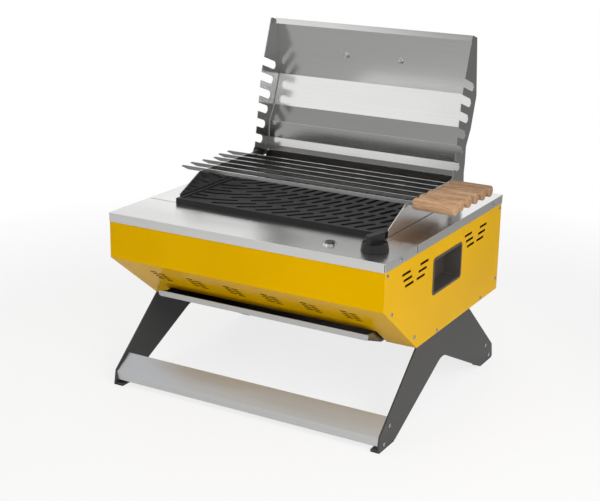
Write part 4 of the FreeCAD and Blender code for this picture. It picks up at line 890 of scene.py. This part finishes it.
class GrillScrews(bpy.types.Operator):
    """Replaces the plain screw heads by domed ones, and finishes the hinge pins"""

    bl_idname = "grill.screws"
    bl_label = "Screws"

    def execute(self, context):
        colours = context.scene.grill_colours
        steel = drawn_steel("domed_screw_steel", colours.blade, roughness=0.2)
        socket = context.scene.grill_sizes.socket / 2
        for node in ("side_screws_right", "side_screws_left", "leg_screws"):
            shape = bmesh.new()
            for spots in loose_parts(node):
                middle = sum(spots, Vector()) / len(spots)
                side = 1 if middle.x > 0 else -1
                xs = [spot.x for spot in spots]
                ys = [spot.y for spot in spots]
                base = Vector((min(xs) if side > 0 else max(xs), middle.y, middle.z))
                head = (max(ys) - min(ys)) / 2
                tall = max(xs) - min(xs)
                profile = to_size(SCREW_DOME, head, tall) + to_size(SCREW_SOCKET, socket, tall)
                turn = Matrix.Translation(base) @ facing(Vector((side, 0, 0)))
                add_rings(shape, profile, turn, sides=24)
            heads = finish_mesh(f"domed_{node}", shape, steel, "base", sharp=40)
            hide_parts(node)
        self.lid_nuts(drawn_steel("bright_nut_steel", colours.nuts, roughness=0.3))
        paint(steel, "hinge_pins")
        return {"FINISHED"}

    def lid_nuts(self, steel):
        """Cup washers and domed nuts on the inside of the lid's front."""
        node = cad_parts["lid_handle_screws"]
        axis = max(node.data.polygons, key=lambda part: part.area).normal.normalized()
        axis = axis if axis.y < 0 else -axis
        shape = bmesh.new()
        for spots in loose_parts("lid_handle_screws"):
            along = [spot.dot(axis) for spot in spots]
            middle = sum(spots, Vector()) / len(spots)
            wide = max((spot - middle - axis * (spot - middle).dot(axis)).length
                       for spot in spots)
            base = middle + axis * (min(along) - middle.dot(axis))
            profile = to_size(WASHER_AND_NUT, wide, max(along) - min(along))
            add_rings(shape, profile, Matrix.Translation(base) @ facing(axis), sides=32)
        nuts = finish_mesh("domed_lid_nuts", shape, steel, "lid", sharp=40)
        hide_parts("lid_handle_screws")


class GrillStageSet(bpy.types.Operator):
    """Sets the floor, the lights, the room and the camera"""

    bl_idname = "grill.stage_set"
    bl_label = "Stage"

    def execute(self, context):
        scene = context.scene
        settings = scene.grill_stage
        # The floor lies just under the feet, so the two don't flicker.
        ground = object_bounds()[0].z - 0.2 * MM
        shape = bmesh.new()
        bmesh.ops.create_grid(shape, x_segments=1, y_segments=1, size=30,
                              matrix=Matrix.Translation((0, 0, ground)))
        board = studio_floor("lacquered_floor", settings.floor, settings.haze)
        floor = finish_mesh("studio_floor", shape, board, None)
        floor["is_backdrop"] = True
        key = self.light("key_softbox", *KEY_LAMP, settings.key_power)
        # Mirrored in the flat rests it would be a plain white patch, so it only lights.
        key.visible_glossy = False
        # A small lamp near it leaves the glints on the screws, the button and the welds.
        self.light("pin_light", *PIN_LAMP, settings.pin_power)
        self.light("fill_softbox", *FILL_LAMP, settings.fill_power)
        self.room(scene, settings.room)
        self.camera(scene, settings.lens)
        scene.view_settings.view_transform = "Standard"
        return {"FINISHED"}

    def light(self, name, place, target, size, power):
        """A square softbox aimed at a point."""
        lamp = bpy.data.lights.new(name, "AREA")
        lamp.size = size
        lamp.energy = power
        box = bpy.data.objects.new(name, lamp)
        box.location = place
        box.rotation_euler = (Vector(target) - Vector(place)).to_track_quat("-Z", "Y").to_euler()
        bpy.context.scene.collection.objects.link(box)
        return box

    def room(self, scene, level):
        """A pale room: white overhead and low behind the object, and dimmer elsewhere."""
        world = bpy.data.worlds.new("pale_room")
        world.use_nodes = True
        tree = world.node_tree
        way = add_node(tree, "ShaderNodeTexCoord").outputs["Generated"]
        apart = add_node(tree, "ShaderNodeSeparateXYZ", links={"Vector": way})
        back, front = (
            add_node(tree, "ShaderNodeValToRGB", links={"Fac": apart.outputs["Z"]},
                     stops=[(height, [grey] * 3) for height, grey in wall]).outputs["Color"]
            for wall in (BACK_WALL, FRONT_WALL)
        )
        ahead = add_node(tree, "ShaderNodeMapRange", values={"From Min": 0.1, "From Max": -0.3},
                         links={"Value": apart.outputs["Y"]})
        walls = add_node(tree, "ShaderNodeMix", {"data_type": "RGBA"},
                         links={"Factor": ahead.outputs["Result"], MIX_A: back, MIX_B: front})
        corner = add_node(tree, "ShaderNodeVectorMath", {"operation": "DOT_PRODUCT"},
                          {1: (0.6, 0.8, 0)}, {0: way})
        dim = add_node(tree, "ShaderNodeMapRange",
                       values={"From Min": 0.5, "From Max": 0.95, "To Min": 1.0, "To Max": 0.5},
                       links={"Value": corner.outputs["Value"]})
        # The room is at full strength where it is seen, and lights the object at the set level.
        gain = add_node(tree, "ShaderNodeMapRange", values={"To Min": level, "To Max": 1.0},
                        links={"Value": seen_directly(tree)})
        lit = add_node(tree, "ShaderNodeMath", {"operation": "MULTIPLY"},
                       links={0: dim.outputs["Result"], 1: gain.outputs["Result"]})
        shaped = add_node(tree, "ShaderNodeMath", {"operation": "MULTIPLY"},
                          links={0: walls.outputs[MIX_RESULT], 1: lit.outputs[0]})
        # The camera itself sees plain white.
        camera_ray = add_node(tree, "ShaderNodeLightPath").outputs["Is Camera Ray"]
        strength = add_node(tree, "ShaderNodeMath", {"operation": "MAXIMUM"},
                            links={0: shaped.outputs[0], 1: camera_ray})
        background = tree.nodes["Background"]
        background.inputs["Color"].default_value = (1, 1, 1, 1)
        tree.links.new(strength.outputs[0], background.inputs["Strength"])
        scene.world = world

    def camera(self, scene, lens):
        """The photograph's view, from the front right and a little above."""
        lens_data = bpy.data.cameras.new("photo_camera")
        lens_data.lens = lens
        lens_data.sensor_width = 36
        lens_data.shift_x, lens_data.shift_y = CAMERA_SHIFT
        lens_data.clip_start = 0.1
        lens_data.clip_end = 100
        camera = bpy.data.objects.new("photo_camera", lens_data)
        azimuth, elevation, roll = (math.radians(angle) for angle in CAMERA_ANGLES)
        ahead = Vector((-math.sin(azimuth) * math.cos(elevation),
                        math.cos(azimuth) * math.cos(elevation), -math.sin(elevation)))
        turn = ahead.to_track_quat("-Z", "Y").to_matrix() @ Matrix.Rotation(roll, 3, "Z")
        camera.matrix_world = Matrix.Translation(CAMERA_PLACE) @ turn.to_4x4()
        scene.collection.objects.link(camera)
        scene.camera = camera


STEPS = (
    GrillPaintedBody,
    GrillSteelSheets,
    GrillStand,
    GrillFire,
    GrillLid,
    GrillSkewers,
    GrillControls,
    GrillScrews,
    GrillStageSet,
)


class GrillPanel(bpy.types.Panel):
    """Lists the settings and the steps that dress the grill"""

    bl_idname = "VIEW3D_PT_grill"
    bl_label = "Skewer Grill"
    bl_space_type = "VIEW_3D"
    bl_region_type = "UI"
    bl_category = "Grill"

    def draw(self, context):
        scene = context.scene
        for group in (scene.grill_colours, scene.grill_sizes, scene.grill_stage):
            box = self.layout.box()
            for name in group.bl_rna.properties.keys():
                if name not in ("rna_type", "name"):
                    box.prop(group, name)
        for step in STEPS:
            self.layout.operator(step.bl_idname)


GROUPS = {"grill_colours": GrillColours, "grill_sizes": GrillSizes, "grill_stage": GrillStage}


def register():
    """Registers the settings, the steps and the panel."""
    for item in (*GROUPS.values(), *STEPS, GrillPanel):
        bpy.utils.register_class(item)
    for name, group in GROUPS.items():
        setattr(bpy.types.Scene, name, bpy.props.PointerProperty(type=group))


def unregister():
    """Undoes what register does."""
    for name in GROUPS:
        delattr(bpy.types.Scene, name)
    for item in (GrillPanel, *reversed(STEPS), *reversed(GROUPS.values())):
        bpy.utils.unregister_class(item)


def main():
    """Dresses the grill."""
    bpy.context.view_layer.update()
    register()
    for step in STEPS:
        group, name = step.bl_idname.split(".")
        getattr(getattr(bpy.ops, group), name)()


if __name__ == "__main__":
    main()
